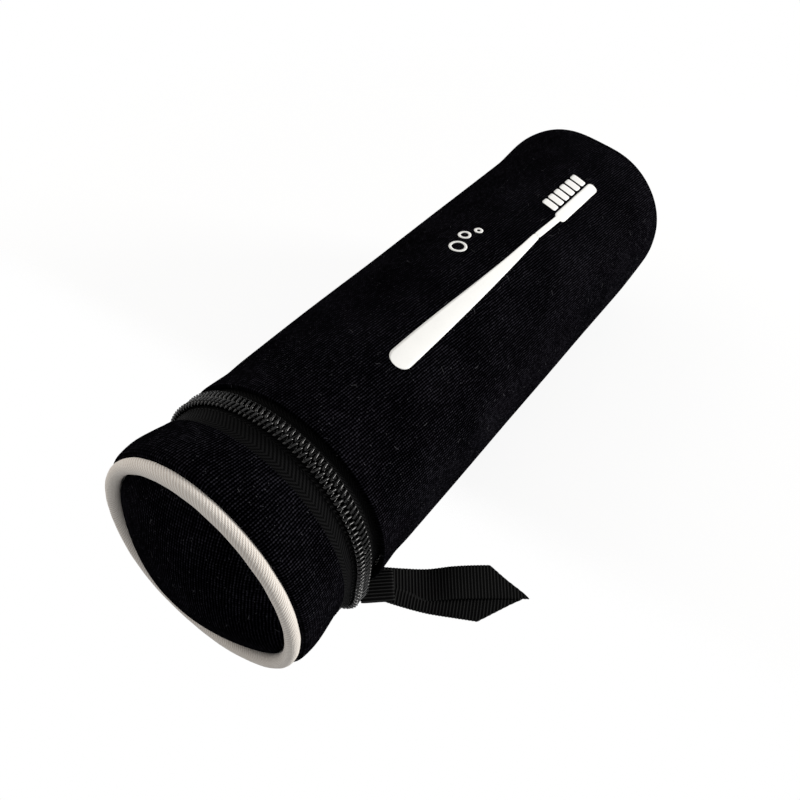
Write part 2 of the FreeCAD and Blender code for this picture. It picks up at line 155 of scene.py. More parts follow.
def puffed(grid, sewn, pressure, most, whole=True):
    """Grid of a cover once its padding has swelled it, by a cloth simulation with its seams held."""
    piece = sheet_piece("swelling", grid, whole)
    columns = len(grid[0])
    held = piece.vertex_groups.new(name="sewn")
    held.add([row * columns + column for row in range(len(grid)) for column in range(columns)
              if sewn(row, column)], 1.0, "REPLACE")
    cloth = piece.modifiers.new("swelling", "CLOTH")
    cloth.settings.vertex_group_mass = "sewn"
    cloth.settings.mass = 0.02
    cloth.settings.use_pressure = True
    cloth.settings.uniform_pressure_force = pressure
    cloth.settings.effector_weights.gravity = 0
    scene = bpy.context.scene
    for moment in range(1, 21):
        scene.frame_set(moment)
    graph = bpy.context.evaluated_depsgraph_get()
    swelled = [vertex.co.copy() for vertex in piece.evaluated_get(graph).data.vertices]
    result = []
    for row, points in enumerate(grid):
        result.append([])
        for column, point in enumerate(points):
            move = swelled[row * columns + column] - point
            if move.length > most:
                move.length = most
            result[-1].append(point + move)
    bpy.data.objects.remove(piece)
    scene.frame_set(1)
    return result


def thicken(piece, wall, levels=0):
    """Gives a sheet its wall, inwards from its face, and rounds it."""
    solid = piece.modifiers.new("wall", "SOLIDIFY")
    solid.thickness = wall
    solid.offset = -1
    if levels:
        soft = piece.modifiers.new("soft", "SUBSURF")
        soft.levels = soft.render_levels = levels


def body_radius(along, angle):
    """Outer radius of the cover, with its raised hem, its slack and its lean towards one side."""
    hem = HEM_RISE * bump_at(along - BODY_MOUTH, HEM_WIDTH)
    hem -= HEM_DIP * bump_at(along - BODY_MOUTH - HEM_STITCH, DIP_WIDTH)
    lean = LEAN_MOUTH + LEAN_RISE * along + END_SET * smooth((along - END_SET_START) / END_SET_LENGTH)
    lean *= math.cos(angle - LEAN_SIDE)
    turn = math.remainder(angle, math.tau)
    settled = END_FULL * bump_at(turn - END_FULL_SIDE, END_FULL_WIDTH)
    settled -= END_DENT * bump_at(turn - END_DENT_SIDE, END_DENT_WIDTH)
    settled *= smooth((along - END_SET_START) / END_SET_LENGTH * 1.3)
    place = Vector((math.sin(angle) * BODY_RADIUS, along, math.cos(angle) * BODY_RADIUS)) / SLACK_SIZE
    return BODY_RADIUS + hem + lean + settled + SLACK * noise.noise(place)


def body_section(angle):
    """Cover from the edge of the turned-under hem, round its fold, to the seam at the base."""
    fold_along = BODY_MOUTH + HEM_FOLD
    fold_radius = body_radius(fold_along, angle) - HEM_FOLD
    points = [(BODY_MOUTH + HEM_DEPTH, fold_radius - HEM_FOLD)]
    for step in range(9):
        turn = math.radians(-90 - 180 * step / 8)
        points.append((fold_along + HEM_FOLD * math.cos(turn), fold_radius + HEM_FOLD * math.sin(turn)))
    roll_along = BODY_END - SEAM_ROLL
    for step in range(1, 49):
        share = step / 48
        along = fold_along + (roll_along - fold_along) * (0.6 * share + 0.4 * smooth(share))
        points.append((along, body_radius(along, angle)))
    roll_radius = body_radius(roll_along, angle) - SEAM_ROLL
    for step in range(1, 7):
        turn = math.radians(105 * step / 6)
        points.append((roll_along + SEAM_ROLL * math.sin(turn), roll_radius + SEAM_ROLL * math.cos(turn)))
    return points


def put(tree, node, values):
    """Sets a node's inputs to values, or links them to sockets."""
    for name, value in values.items():
        if isinstance(value, bpy.types.NodeSocket):
            tree.links.new(value, node.inputs[name])
        else:
            node.inputs[name].default_value = value


def add(tree, kind, values=None, **settings):
    """New node with its settings and its inputs."""
    node = tree.nodes.new(kind)
    for name, setting in settings.items():
        setattr(node, name, setting)
    put(tree, node, values or {})
    return node


def calc(tree, operation, *values):
    """Result of a math node on sockets or plain numbers."""
    return add(tree, "ShaderNodeMath", dict(enumerate(values)), operation=operation).outputs[0]


def shades(tree, share, dark, light):
    """Colour between two shades, each a colour or a socket."""
    dark, light = (end if isinstance(end, bpy.types.NodeSocket) else (*end, 1) for end in (dark, light))
    return add(tree, "ShaderNodeMix", {"Factor": share, 6: dark, 7: light}, data_type="RGBA").outputs[2]


def new_surface(name):
    """New material with nodes, and its tree."""
    material = bpy.data.materials.new(name)
    material.use_nodes = True
    return material, material.node_tree


def finish_surface(tree, height, depth, strength, values):
    """Gives a material's shader its inputs, and a relief of a depth in millimetres."""
    relief = add(tree, "ShaderNodeBump", {"Height": height, "Distance": depth * MM, "Strength": strength})
    put(tree, tree.nodes["Principled BSDF"], {"Normal": relief.outputs[0], **values})


def lint_mask(tree, threads, size, share, reach, width):
    """Mask of bent fibres caught on a cloth: one in some cells of a size, each turned its own way."""
    spread = add(tree, "ShaderNodeVectorMath", {0: threads, 1: (1 / size, 1 / size, 0)}, operation="MULTIPLY")
    cells = add(tree, "ShaderNodeTexVoronoi", {"Vector": spread.outputs[0], "Scale": 1.0},
                voronoi_dimensions="2D")
    chance = add(tree, "ShaderNodeSeparateColor", {"Color": cells.outputs["Color"]}).outputs
    local = add(tree, "ShaderNodeVectorMath", {0: spread.outputs[0], 1: cells.outputs["Position"]},
                operation="SUBTRACT")
    turned = add(tree, "ShaderNodeVectorRotate",
                 {"Vector": local.outputs[0], "Angle": calc(tree, "MULTIPLY", chance[1], math.tau)},
                 rotation_type="Z_AXIS")
    axes = add(tree, "ShaderNodeSeparateXYZ", {"Vector": turned.outputs[0]}).outputs
    bent = calc(tree, "MULTIPLY_ADD", calc(tree, "MULTIPLY", axes[0], axes[0]),
                calc(tree, "MULTIPLY", chance[2], 1.6), axes[1])
    thin = calc(tree, "LESS_THAN", calc(tree, "ABSOLUTE", bent), width / size)
    short = calc(tree, "LESS_THAN", calc(tree, "ABSOLUTE", axes[0]),
                 calc(tree, "MULTIPLY", chance[2], reach / size))
    kept = calc(tree, "LESS_THAN", chance[0], share)
    return calc(tree, "MULTIPLY", calc(tree, "MULTIPLY", thin, short), kept)


def twill(name, dark, light, pitch, lean, lint=None, gloss_level=0.1, sheen=0.1, depth=0.12, breaks=0.12,
          step=0.5, crisp=1.0, mixed=0.0):
    """Twill cloth: leaning ribs of a pitch in millimetres, broken by the yarns across them.

    The yarns lie at a step, as a share of the pitch. Crisp sets how sharply the ribs stand out, and mixed
    how unlike the crossings are. Lint is scattered on it where a colour is given.
    """
    material, tree = new_surface(name)
    threads = add(tree, "ShaderNodeUVMap", uv_map="threads").outputs[0]
    axes = add(tree, "ShaderNodeSeparateXYZ", {"Vector": threads})
    uneven = add(tree, "ShaderNodeTexNoise", {"Vector": threads, "Scale": 0.35, "Detail": 3.0})
    across = calc(tree, "ADD", calc(tree, "MULTIPLY", axes.outputs[0], math.cos(lean) / pitch),
                  calc(tree, "MULTIPLY", axes.outputs[1], math.sin(lean) / pitch))
    waved = calc(tree, "MULTIPLY_ADD", uneven.outputs[0], 0.9, across)
    rib = calc(tree, "SINE", calc(tree, "MULTIPLY", waved, math.tau))
    yarn = calc(tree, "SINE", calc(tree, "MULTIPLY", axes.outputs[1], math.tau / (pitch * step)))
    height = calc(tree, "ADD", calc(tree, "MULTIPLY_ADD", rib, 0.33, 0.5),
                  calc(tree, "MULTIPLY", yarn, breaks))
    patches = add(tree, "ShaderNodeTexNoise", {"Vector": threads, "Scale": 0.05, "Detail": 2.0})
    worn = calc(tree, "MULTIPLY_ADD", calc(tree, "SUBTRACT", patches.outputs[0], 0.5), 0.5, height)
    tone = calc(tree, "MULTIPLY_ADD", calc(tree, "SUBTRACT", worn, 0.5), crisp, 0.75 - crisp / 4)
    crossing = add(tree, "ShaderNodeCombineXYZ", {
        "X": calc(tree, "FLOOR", waved),
        "Y": calc(tree, "FLOOR", calc(tree, "DIVIDE", axes.outputs[1], pitch * step))})
    chance = add(tree, "ShaderNodeTexWhiteNoise", {"Vector": crossing.outputs[0]}, noise_dimensions="2D")
    share = calc(tree, "MULTIPLY_ADD", calc(tree, "POWER", chance.outputs["Value"], 2), mixed, 1 - mixed)
    tone = calc(tree, "MULTIPLY", tone, share)
    colour = shades(tree, tone, dark, light)
    if lint:
        fibres = calc(tree, "MAXIMUM",
                      lint_mask(tree, threads, size=7.0, share=0.25, reach=1.1, width=0.08),
                      lint_mask(tree, threads, size=2.4, share=0.32, reach=0.22, width=0.09))
        colour = shades(tree, calc(tree, "MULTIPLY", fibres, 0.7), colour, lint)
    finish_surface(tree, height, depth, strength=1.0, values={
        "Base Color": colour, "Roughness": 0.9, "Specular IOR Level": gloss_level, "Sheen Weight": sheen,
        "Sheen Roughness": 0.45})
    return material


black_twill = twill("black_twill", (0.0, 0.0, 0.0001), (0.0165, 0.0157, 0.0205), pitch=0.8,
                    lean=math.radians(-4), lint=(0.06, 0.06, 0.065), gloss_level=0.0, sheen=0.0,
                    breaks=0.17, step=1.05, crisp=2.6, mixed=0.72)
body_grid = ring_grid(body_section)
body_seams = {*range(10), *range(len(body_grid[0]) - 6, len(body_grid[0]))}
body_grid = puffed(body_grid, lambda row, column: column in body_seams, pressure=4.0, most=SWELL)
body_cover = sheet_piece("body_cover", body_grid)
body_cover.data.materials.append(black_twill)
thicken(body_cover, COVER_WALL, levels=1)
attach(body_cover, "body")
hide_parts("body_shell")


# Body padding and lining: a sleeve of foam under the cover, and a plain woven lining inside it whose
# lip turns out over the foam at the mouth, where it is sewn to the zip tape.
FOAM_INSET = 0.9 * MM
FOAM_GAP = 0.5 * MM
lining_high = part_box("body_lining")[1]
LINING_OUTER = lining_high.x
LINING_WALL = 0.45 * MM
LIP_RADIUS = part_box("zip_tape_body")[1].x - 0.8 * MM
FOAM_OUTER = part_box("body_foam")[1].x - 0.3 * MM


def rounded_section(front, back, inner, outer, corner):
    """Closed rectangular section with rounded corners."""
    points = []
    for turn, along, radius in ((180, front + corner, outer - corner), (90, back - corner, outer - corner),
                                (0, back - corner, inner + corner), (-90, front + corner, inner + corner)):
        for step in range(4):
            angle = math.radians(turn - 30 * step)
            points.append((along + corner * math.cos(angle), radius + corner * math.sin(angle)))
    return points


def foam_material(name, dark, light):
    """Open-cell foam: pores of two sizes over a mottled colour."""
    material, tree = new_surface(name)
    place = add(tree, "ShaderNodeTexCoord").outputs["Object"]
    pores = add(tree, "ShaderNodeTexVoronoi", {"Vector": place, "Scale": 1800.0})
    clumps = add(tree, "ShaderNodeTexNoise", {"Vector": place, "Scale": 220.0, "Detail": 4.0})
    height = calc(tree, "MULTIPLY_ADD", clumps.outputs[0], 0.5, pores.outputs["Distance"])
    finish_surface(tree, height, depth=0.25, strength=0.8, values={
        "Base Color": shades(tree, height, dark, light), "Roughness": 0.95})
    return material


def plain_weave(name, dark, light, pitch):
    """Plain woven lining: threads over and under each other, at a pitch in millimetres."""
    material, tree = new_surface(name)
    axes = add(tree, "ShaderNodeSeparateXYZ",
               {"Vector": add(tree, "ShaderNodeUVMap", uv_map="threads").outputs[0]})
    warp = calc(tree, "SINE", calc(tree, "MULTIPLY", axes.outputs[0], math.tau / pitch))
    weft = calc(tree, "SINE", calc(tree, "MULTIPLY", axes.outputs[1], math.tau / pitch))
    height = calc(tree, "MULTIPLY_ADD", calc(tree, "MULTIPLY", warp, weft), 0.45, 0.5)
    finish_surface(tree, height, depth=0.06, strength=0.8, values={
        "Base Color": shades(tree, height, dark, light), "Roughness": 0.6, "Sheen Weight": 0.1})
    return material


padding_foam = foam_material("padding_foam", (0.5, 0.5, 0.47), (0.78, 0.78, 0.74))
grey_lining = plain_weave("grey_lining", (0.012, 0.012, 0.014), (0.04, 0.04, 0.046), pitch=0.5)


def foam_ring(name, node, section, body, place=tube_point):
    """Closed ring of foam that stands for a foam node."""
    piece = sheet_piece(name, ring_grid(lambda angle: section, place), loop=True)
    piece.data.materials.append(padding_foam)
    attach(piece, body)
    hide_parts(node)


def lining_ring(name, node, section, body, place=tube_point):
    """Sleeve of lining that stands for a lining node."""
    piece = sheet_piece(name, ring_grid(lambda angle: section, place))
    piece.data.materials.append(grey_lining)
    thicken(piece, LINING_WALL)
    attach(piece, body)
    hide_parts(node)


def lining_section(mouth, end, turn):
    """Sleeve from its far end to the mouth, where it rounds outwards into its lip."""
    inner = LINING_OUTER - LINING_WALL
    lip = 0.7 * MM
    points = [(end + (mouth - end) * step / 12 - turn * lip * step / 12, inner) for step in range(13)]
    for step in range(1, 5):
        angle = math.radians(90 * step / 4)
        points.append((mouth - turn * lip * (1 - math.sin(angle)), inner + lip * (1 - math.cos(angle))))
    points.append((mouth, LIP_RADIUS))
    return points


STEP_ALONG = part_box("zip_tape_body")[1].y - ZIP_Y + 0.6 * MM
STEP_OUTER = LIP_RADIUS - 0.1 * MM
foam_section = [(BODY_MOUTH + FOAM_INSET, LINING_OUTER), (BODY_MOUTH + FOAM_INSET, STEP_OUTER),
                (STEP_ALONG, STEP_OUTER)]
for step in range(25):
    foam_section.append((STEP_ALONG + 0.4 * MM + (BODY_END - STEP_ALONG - 1.4 * MM) * step / 24, FOAM_OUTER))
foam_section.append((BODY_END - 1 * MM, LINING_OUTER))


def under_cover(along, radius, angle):
    """Point of the padding, pressed in where the cover has settled."""
    most = body_radius(along, angle) - COVER_WALL - FOAM_GAP
    rest = COVER_WALL + FOAM_GAP
    point = tube_point(along, min(radius, most), angle)
    return Vector((point.x, point.y, max(point.z, rest)))


foam_ring("body_padding", "body_foam", foam_section, "body", under_cover)
lining_ring("body_inner_lining", "body_lining",
            lining_section(BODY_MOUTH, lining_high.y - ZIP_Y, -1), "body")


# Base: a crowned disc of the same twill with a rounded shoulder, sewn to the tube's rolled end, over
# a foam disc and a lining disc.
BASE_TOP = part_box("base_panel")[1].y - ZIP_Y
BASE_SHOULDER = 6.5 * MM
BASE_CROWN = 3.4 * MM
BASE_TUCK = 1.2 * MM
TUCK_LEAN = 0.2
RIM_GAP = 0.1 * MM
DISC_STEPS = 44


def disc_grid(profile, place, mirrored):
    """Square grid drawn into a disc; profile gives distance along the tube and radius from rim share."""
    grid = []
    for row in range(DISC_STEPS + 1):
        grid.append([])
        for column in range(DISC_STEPS + 1):
            u = 2 * row / DISC_STEPS - 1
            v = 2 * column / DISC_STEPS - 1
            across = (-u if mirrored else u) * math.sqrt(1 - v * v / 2)
            upward = v * math.sqrt(1 - u * u / 2)
            angle = math.atan2(across, upward)
            along, radius = profile(math.hypot(across, upward), angle)
            grid[-1].append(place(along, radius, angle))
    return grid


def on_rim(row, column):
    """Whether a point of a disc's grid lies on its rim."""
    return row in (0, DISC_STEPS) or column in (0, DISC_STEPS)


def disc_piece(name, grid):
    """Sheet over a disc's grid, with its threads running straight across."""
    return sheet_piece(name, grid, whole=False,
                       threads=lambda row, column: (grid[row][column].x / MM, grid[row][column].z / MM))


def base_profile(share, angle):
    """Base from its crown, over the shoulder, to the edge tucked into the seam."""
    rim = body_radius(BODY_END - SEAM_ROLL, angle) - RIM_GAP
    flat = rim - BASE_SHOULDER
    edge = BASE_TOP - BASE_CROWN
    bend = BASE_SHOULDER * math.pi / 2
    distance = share * (flat + bend + BASE_TUCK)
    if distance < flat:
        return edge + BASE_CROWN * (1 - (distance / flat) ** 2), distance
    if distance < flat + bend:
        turn = (distance - flat) / BASE_SHOULDER
        return edge - BASE_SHOULDER * (1 - math.cos(turn)), flat + BASE_SHOULDER * math.sin(turn)
    sunk = distance - flat - bend
    return edge - BASE_SHOULDER + TUCK_LEAN * sunk, rim - sunk


base_grid = disc_grid(base_profile, tube_point, mirrored=True)
base_grid = puffed(base_grid, on_rim, pressure=3.0, most=0.5 * MM, whole=False)
base_cover = disc_piece("base_cover", base_grid)
base_cover.data.materials.append(black_twill)
thicken(base_cover, COVER_WALL, levels=1)
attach(base_cover, "body")
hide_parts("base_panel")


def round_piece(name, node, section, body, material, place=tube_point):
    """Closed disc turned from a section that starts and ends on the tube axis."""
    piece = sheet_piece(name, ring_grid(lambda angle: section, place, steps=96),
                        threads=lambda row, column: (
                            section[column][1] / MM * math.sin(math.tau * row / 96),
                            section[column][1] / MM * math.cos(math.tau * row / 96)))
    shape = bmesh.new()
    shape.from_mesh(piece.data)
    bmesh.ops.remove_doubles(shape, verts=shape.verts, dist=0.01 * MM)
    bmesh.ops.recalc_face_normals(shape, faces=shape.faces)
    shape.to_mesh(piece.data)
    shape.free()
    piece.data.materials.append(material)
    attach(piece, body)
    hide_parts(node)
    return piece


def lens_section(front, back, radius, front_crown, back_crown, corner):
    """Section of a disc: each face crowned by its own rise, with a rounded rim."""
    points = []
    flat = radius - corner
    for step in range(9):
        share = step / 8
        points.append((front - front_crown * (1 - share ** 2), flat * share))
    for step in range(1, 6):
        turn = math.pi * step / 6
        middle = (front + back) / 2
        points.append((middle - (back - front) / 2 * math.cos(turn), flat + corner * math.sin(turn)))
    for step in range(9):
        share = 1 - step / 8
        points.append((back + back_crown * (1 - share ** 2), flat * share))
    return points


pad_low, pad_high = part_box("base_foam")
base_padding = round_piece(
    "base_padding", "base_foam",
    lens_section(pad_low.y - ZIP_Y, pad_low.y - ZIP_Y + 3.2 * MM, pad_high.x - 1.5 * MM,
                 front_crown=0, back_crown=3 * MM, corner=1.6 * MM),
    "body", padding_foam)
disc_low, disc_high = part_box("base_lining")
round_piece("base_inner_lining", "base_lining",
            lens_section(disc_low.y - ZIP_Y, disc_high.y - ZIP_Y, LINING_OUTER,
                         front_crown=0.3 * MM, back_crown=0, corner=0.25 * MM),
            "body", grey_lining)


# Lid band: a short tube of the twill, folded at the mouth and drawn in to the piping, where the soft
# rim has settled into a slight oval. Foam and lining sit inside it as in the body.
lid_low, lid_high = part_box("lid_shell")
LID_RADIUS = lid_high.x
LID_MOUTH = lid_high.y - ZIP_Y
LID_SEAM = lid_low.y - ZIP_Y
LID_FOLD = 0.4 * MM
LID_BULGE = 1.25 * MM
BULGE_ALONG = -19.5 * MM
BULGE_WIDTH = 7 * MM
MOUTH_DIP = 0.35 * MM
LID_TUCK = ((0.6 * MM, 3.0 * MM), (0.9 * MM, 1.6 * MM), (0.6 * MM, 0.5 * MM))
OVAL_GROWTH = 0.017
OVAL_SHARE = 0.044
OVAL_SHIFT = Vector((0.56 * MM, 0, -0.49 * MM))
REST_TURN = math.radians(100)
REST_FADE = math.radians(60)
REST_RADIUS = 0.6 * LID_RADIUS


def lid_point(along, radius, angle):
    """Point of the lid, growing into an upright oval towards the piping, but round where it rests."""
    resting = smooth((abs(math.remainder(angle, math.tau)) - REST_TURN) / REST_FADE)
    resting *= smooth(radius / REST_RADIUS)
    share = smooth((LID_MOUTH - along) / (LID_MOUTH - LID_SEAM)) * (1 - resting)
    oval = (1 + OVAL_GROWTH) * (1 + OVAL_SHARE * math.cos(2 * angle)) - 1
    return tube_point(along, radius * (1 + oval * share), angle) + OVAL_SHIFT * share


def lid_radius(along):
    """Outer radius of the band, which dips at the mouth and bulges beside the piping."""
    bulge = LID_BULGE * bump_at(along - BULGE_ALONG, BULGE_WIDTH)
    return LID_RADIUS + bulge - MOUTH_DIP * bump_at(along - LID_MOUTH, DIP_WIDTH)


def lid_section(angle):
    """Band from the edge tucked under the piping to the fold at the mouth and its turned-under edge."""
    roll = lid_radius(LID_SEAM)
    points = [(LID_SEAM - out, roll - inwards) for out, inwards in LID_TUCK]
    for step in range(19):
        share = step / 18
        along = LID_SEAM + (LID_MOUTH - LID_FOLD - LID_SEAM) * share
        place = Vector((math.sin(angle), along / LID_RADIUS, math.cos(angle))) * LID_RADIUS / SLACK_SIZE * 1.5
        points.append((along, lid_radius(along) + SLACK * noise.noise(place) * math.sin(math.pi * share)))
    fold_radius = lid_radius(LID_MOUTH) - LID_FOLD
    for step in range(1, 7):
        turn = math.radians(90 - 180 * step / 6)
        points.append((LID_MOUTH - LID_FOLD + LID_FOLD * math.cos(turn),
                       fold_radius + LID_FOLD * math.sin(turn)))
    points.append((LID_MOUTH - 4 * MM, fold_radius - LID_FOLD))
    return points


lid_grid = ring_grid(lid_section, lid_point)
lid_seams = {0, 1, 2, *range(len(lid_grid[0]) - 8, len(lid_grid[0]))}
lid_grid = puffed(lid_grid, lambda row, column: column in lid_seams, pressure=4.0, most=0.25 * MM)
lid_cover = sheet_piece("lid_cover", lid_grid)
lid_cover.data.materials.append(black_twill)
thicken(lid_cover, COVER_WALL, levels=1)
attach(lid_cover, "lid")
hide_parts("lid_shell")
foam_ring("lid_padding", "lid_foam",
          rounded_section(LID_SEAM + 0.4 * MM, LID_MOUTH - FOAM_INSET, LINING_OUTER,
                          outer=LID_RADIUS - 1.9 * MM, corner=0.5 * MM), "lid", lid_point)
lid_lining_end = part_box("lid_lining")[0].y - ZIP_Y
lining_ring("lid_inner_lining", "lid_lining", lining_section(LID_MOUTH, lid_lining_end, 1)[::-1], "lid",
            lid_point)


# Lid end: a disc of the twill, swelled into a dome by its foam pad and closed inside by a lining disc.
# Its edge is tucked in beside the piping and sewn there.
end_low, end_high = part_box("lid_end_panel")
END_RIM = end_high.x
END_SEAM = end_high.y - ZIP_Y
END_TOP = end_low.y - ZIP_Y
END_SWELL = 1.2 * MM
END_EDGE = 0.93
END_CURVE = 2.3
END_STEP = 0.6 * MM
END_TUCK = 3 * MM
END_FLARE = 0.3 * MM


def end_profile(share, angle):
    """Dome from its middle to the edge tucked in beside the piping."""
    crown = END_SEAM - END_TOP - END_SWELL
    if share < END_EDGE:
        ratio = share / END_EDGE
        return END_SEAM - crown * (1 - ratio ** END_CURVE) - END_STEP, END_RIM * ratio
    sunk = (share - END_EDGE) / (1 - END_EDGE)
    return END_SEAM - END_STEP + END_TUCK * sunk, END_RIM + END_FLARE * sunk


end_grid = disc_grid(end_profile, lid_point, mirrored=False)
end_grid = puffed(end_grid, on_rim, pressure=4.0, most=END_SWELL, whole=False)
end_cover = disc_piece("lid_end_cover", end_grid)
end_cover.data.materials.append(black_twill)
thicken(end_cover, COVER_WALL, levels=1)
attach(end_cover, "lid")
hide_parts("lid_end_panel")
pad_low, pad_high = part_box("lid_end_foam")
end_padding = round_piece(
    "lid_end_padding", "lid_end_foam",
    lens_section(pad_high.y - ZIP_Y - 2.4 * MM, pad_high.y - ZIP_Y, END_RIM - 1 * MM,
                 front_crown=5 * MM, back_crown=0, corner=1.2 * MM),
    "lid", padding_foam, lid_point)
disc_low, disc_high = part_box("lid_end_lining")
round_piece("lid_end_inner_lining", "lid_end_lining",
            lens_section(disc_low.y - ZIP_Y, disc_high.y - ZIP_Y, LINING_OUTER,
                         front_crown=0, back_crown=0.3 * MM, corner=0.25 * MM),
            "lid", grey_lining, lid_point)


# Piping: a strip of off-white twill cut on the bias and folded round a cotton cord, sewn between the
# lid's band and its end.
pipe_low, pipe_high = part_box("lid_piping_cover")
PIPE_RADIUS = (pipe_high.y - pipe_low.y) / 2
PIPE_ALONG = (pipe_high.y + pipe_low.y) / 2 - ZIP_Y
PIPE_RING = pipe_high.x - PIPE_RADIUS
PIPE_STEPS = 20
PIPE_DRAWN = 0.93
PIPE_UNEVEN = 0.05
core_low, core_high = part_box("lid_piping_cord")
CORE_RADIUS = (core_high.y - core_low.y) / 2


def pipe_section(radius):
    """Round section of the piping, as a closed loop."""
    turns = [math.tau * step / PIPE_STEPS for step in range(PIPE_STEPS)]
    return [(PIPE_ALONG - radius * math.cos(turn), PIPE_RING + radius * math.sin(turn)) for turn in turns]


def piping_section(angle):
    """Section of the piping, a little uneven where the strip is pulled."""
    place = Vector((math.sin(angle), 0, math.cos(angle))) * 6
    return pipe_section(PIPE_RADIUS * (PIPE_DRAWN + PIPE_UNEVEN * noise.noise(place)))


white_twill = twill("white_twill", (0.58, 0.51, 0.45), (0.9, 0.87, 0.82), pitch=0.7,
                    lean=math.radians(40), breaks=0.2)
piping_strip = sheet_piece("piping_strip", ring_grid(piping_section, lid_point, steps=256), loop=True)
piping_strip.data.materials.append(white_twill)
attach(piping_strip, "lid")
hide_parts("lid_piping_cover")
cotton_cord = twill("cotton_cord", (0.45, 0.42, 0.36), (0.8, 0.77, 0.7), pitch=1.1,
                    lean=math.radians(35), depth=0.3)
core_grid = ring_grid(lambda angle: pipe_section(CORE_RADIUS * PIPE_DRAWN), lid_point)
piping_core = sheet_piece("piping_core", core_grid, loop=True)
piping_core.data.materials.append(cotton_cord)
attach(piping_core, "lid")
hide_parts("lid_piping_cord")


# Zip tapes: two woven tapes in a herringbone, one sewn under each mouth, drawn up under the coils.
# Where the slider parks, the lid's tape is sewn down to the body.
def angles_of(node):
    """Least and greatest angle from the top that a node of the zip covers."""
    turns = [math.atan2(vertex.co.x, vertex.co.z - AXIS_Z) for vertex in frame["nodes"][node].data.vertices]
    return min(turns), max(turns)


tape_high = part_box("zip_tape_body")[1]
TAPE_RADIUS = tape_high.x
TAPE_WALL = 0.5 * MM
TAPE_SINK = 0.15 * MM
TAPE_START = 0.35 * MM
SINK_START = 0.6
SINK_LENGTH = 3 * MM
BODY_TAPE_EDGE = tape_high.y - ZIP_Y
LID_TAPE_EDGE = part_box("zip_tape_lid")[0].y - ZIP_Y
COIL_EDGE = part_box("zip_coil_body")[1].y - ZIP_Y
SLIDER_TURN = sum(angles_of("slider_body")) / 2
POST_SHARE = 0.22
POST_TURN = math.radians(9)
POST_FADE = math.radians(6)
CHAIN_SHIFT = 1.6 * MM
SHIFT_TURN = math.radians(20)
SHIFT_FADE = math.radians(80)
LOOSE_START = 3.4 * MM
LOOSE_FADE = 3.4 * MM
CHAIN_BULGE = 2.2 * MM
BULGE_TURN = math.radians(121)
BULGE_SPREAD = math.radians(12)


def herringbone(name, dark, light, pitch, band):
    """Tape woven in a herringbone: ribs that turn back at each band, in millimetres."""
    material, tree = new_surface(name)
    threads = add(tree, "ShaderNodeUVMap", uv_map="threads").outputs[0]
    axes = add(tree, "ShaderNodeSeparateXYZ", {"Vector": threads})
    turned = calc(tree, "PINGPONG", axes.outputs[1], band)
    slant = calc(tree, "MULTIPLY_ADD", turned, 1.3, axes.outputs[0])
    rib = calc(tree, "SINE", calc(tree, "MULTIPLY", slant, math.tau / pitch))
    fine = calc(tree, "SINE", calc(tree, "MULTIPLY", axes.outputs[1], math.tau / 0.35))
    height = calc(tree, "ADD", calc(tree, "MULTIPLY_ADD", rib, 0.36, 0.5), calc(tree, "MULTIPLY", fine, 0.1))
    finish_surface(tree, height, depth=0.22, strength=1.0, values={
        "Base Color": shades(tree, height, dark, light), "Roughness": 0.7, "Specular IOR Level": 0.01})
    return material


black_tape = herringbone("black_tape", (0.0001, 0.0001, 0.0001), (0.0095, 0.0095, 0.01),
                         pitch=1.3, band=2.4)


def settle(piece, side):
    """Draws the soft chain over to the body along the top, and out where it turns under at the pull.

    Where the slider stops at either end, its post holds the row on this side back from the middle.
    """
    for vertex in piece.data.vertices:
        across, up = vertex.co.x, vertex.co.z - AXIS_Z
        turn = math.atan2(across, up)
        loose = 1 - smooth((abs(vertex.co.y - ZIP_Y) - LOOSE_START) / LOOSE_FADE)
        drawn = CHAIN_SHIFT * (1 - smooth((abs(turn) - SHIFT_TURN) / SHIFT_FADE))
        bulge = CHAIN_BULGE * bump_at(turn - BULGE_TURN, BULGE_SPREAD) / math.hypot(across, up)
        held = 1 - smooth((abs(abs(turn) - SLIDER_TURN) - POST_TURN) / POST_FADE)
        kept = max(COIL_EDGE - side * (vertex.co.y - ZIP_Y), 0.0)
        drawn += side * kept * POST_SHARE * held
        vertex.co += Vector((across * bulge, drawn, up * bulge)) * loose


def tape_section(edge):
    """Tape from the middle of the zip to its sewn edge, sinking beside the coil."""
    points = []
    for step in range(15):
        share = step / 14
        along = math.copysign(TAPE_START, edge) + (edge - math.copysign(TAPE_START, edge)) * share
        sink = TAPE_SINK * smooth((abs(along) - COIL_EDGE * SINK_START) / SINK_LENGTH)
        points.append((along, TAPE_RADIUS - sink))
    return points if edge > 0 else points[::-1]


for name, node, edge, body in (("tape_body", "zip_tape_body", BODY_TAPE_EDGE, "body"),
                               ("tape_lid", "zip_tape_lid", LID_TAPE_EDGE, "lid"),
                               ("tape_closed_end", "zip_tape_closed_end", None, "body"),
                               ("tape_open_end", "zip_tape_open_end", None, "body")):
    start, end = angles_of(node)
    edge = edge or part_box(node)[0].y - ZIP_Y
    section = tape_section(edge)
    steps = max(12, round(ROUND_STEPS * (end - start) / math.tau))
    tape = sheet_piece(name, ring_grid(lambda angle: section, steps=steps, start=start, end=end), whole=False)
    tape.data.materials.append(black_tape)
    settle(tape, math.copysign(1, edge))
    thicken(tape, TAPE_WALL)
    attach(tape, body)
    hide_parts(node)


# Zip coils: one nylon filament on each tape, wound into a flat helix. The heads of the two rows
# interlock along the middle.
COIL_PITCH = 1.645 * MM
COIL_WIRE = 0.39 * MM
HEAD_REACH = 0.42 * MM
TURN_POINTS = 16
COIL_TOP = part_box("zip_coil_body")[1].x
COIL_FOOT = TAPE_RADIUS
COIL_RING = (COIL_TOP + COIL_FOOT) / 2


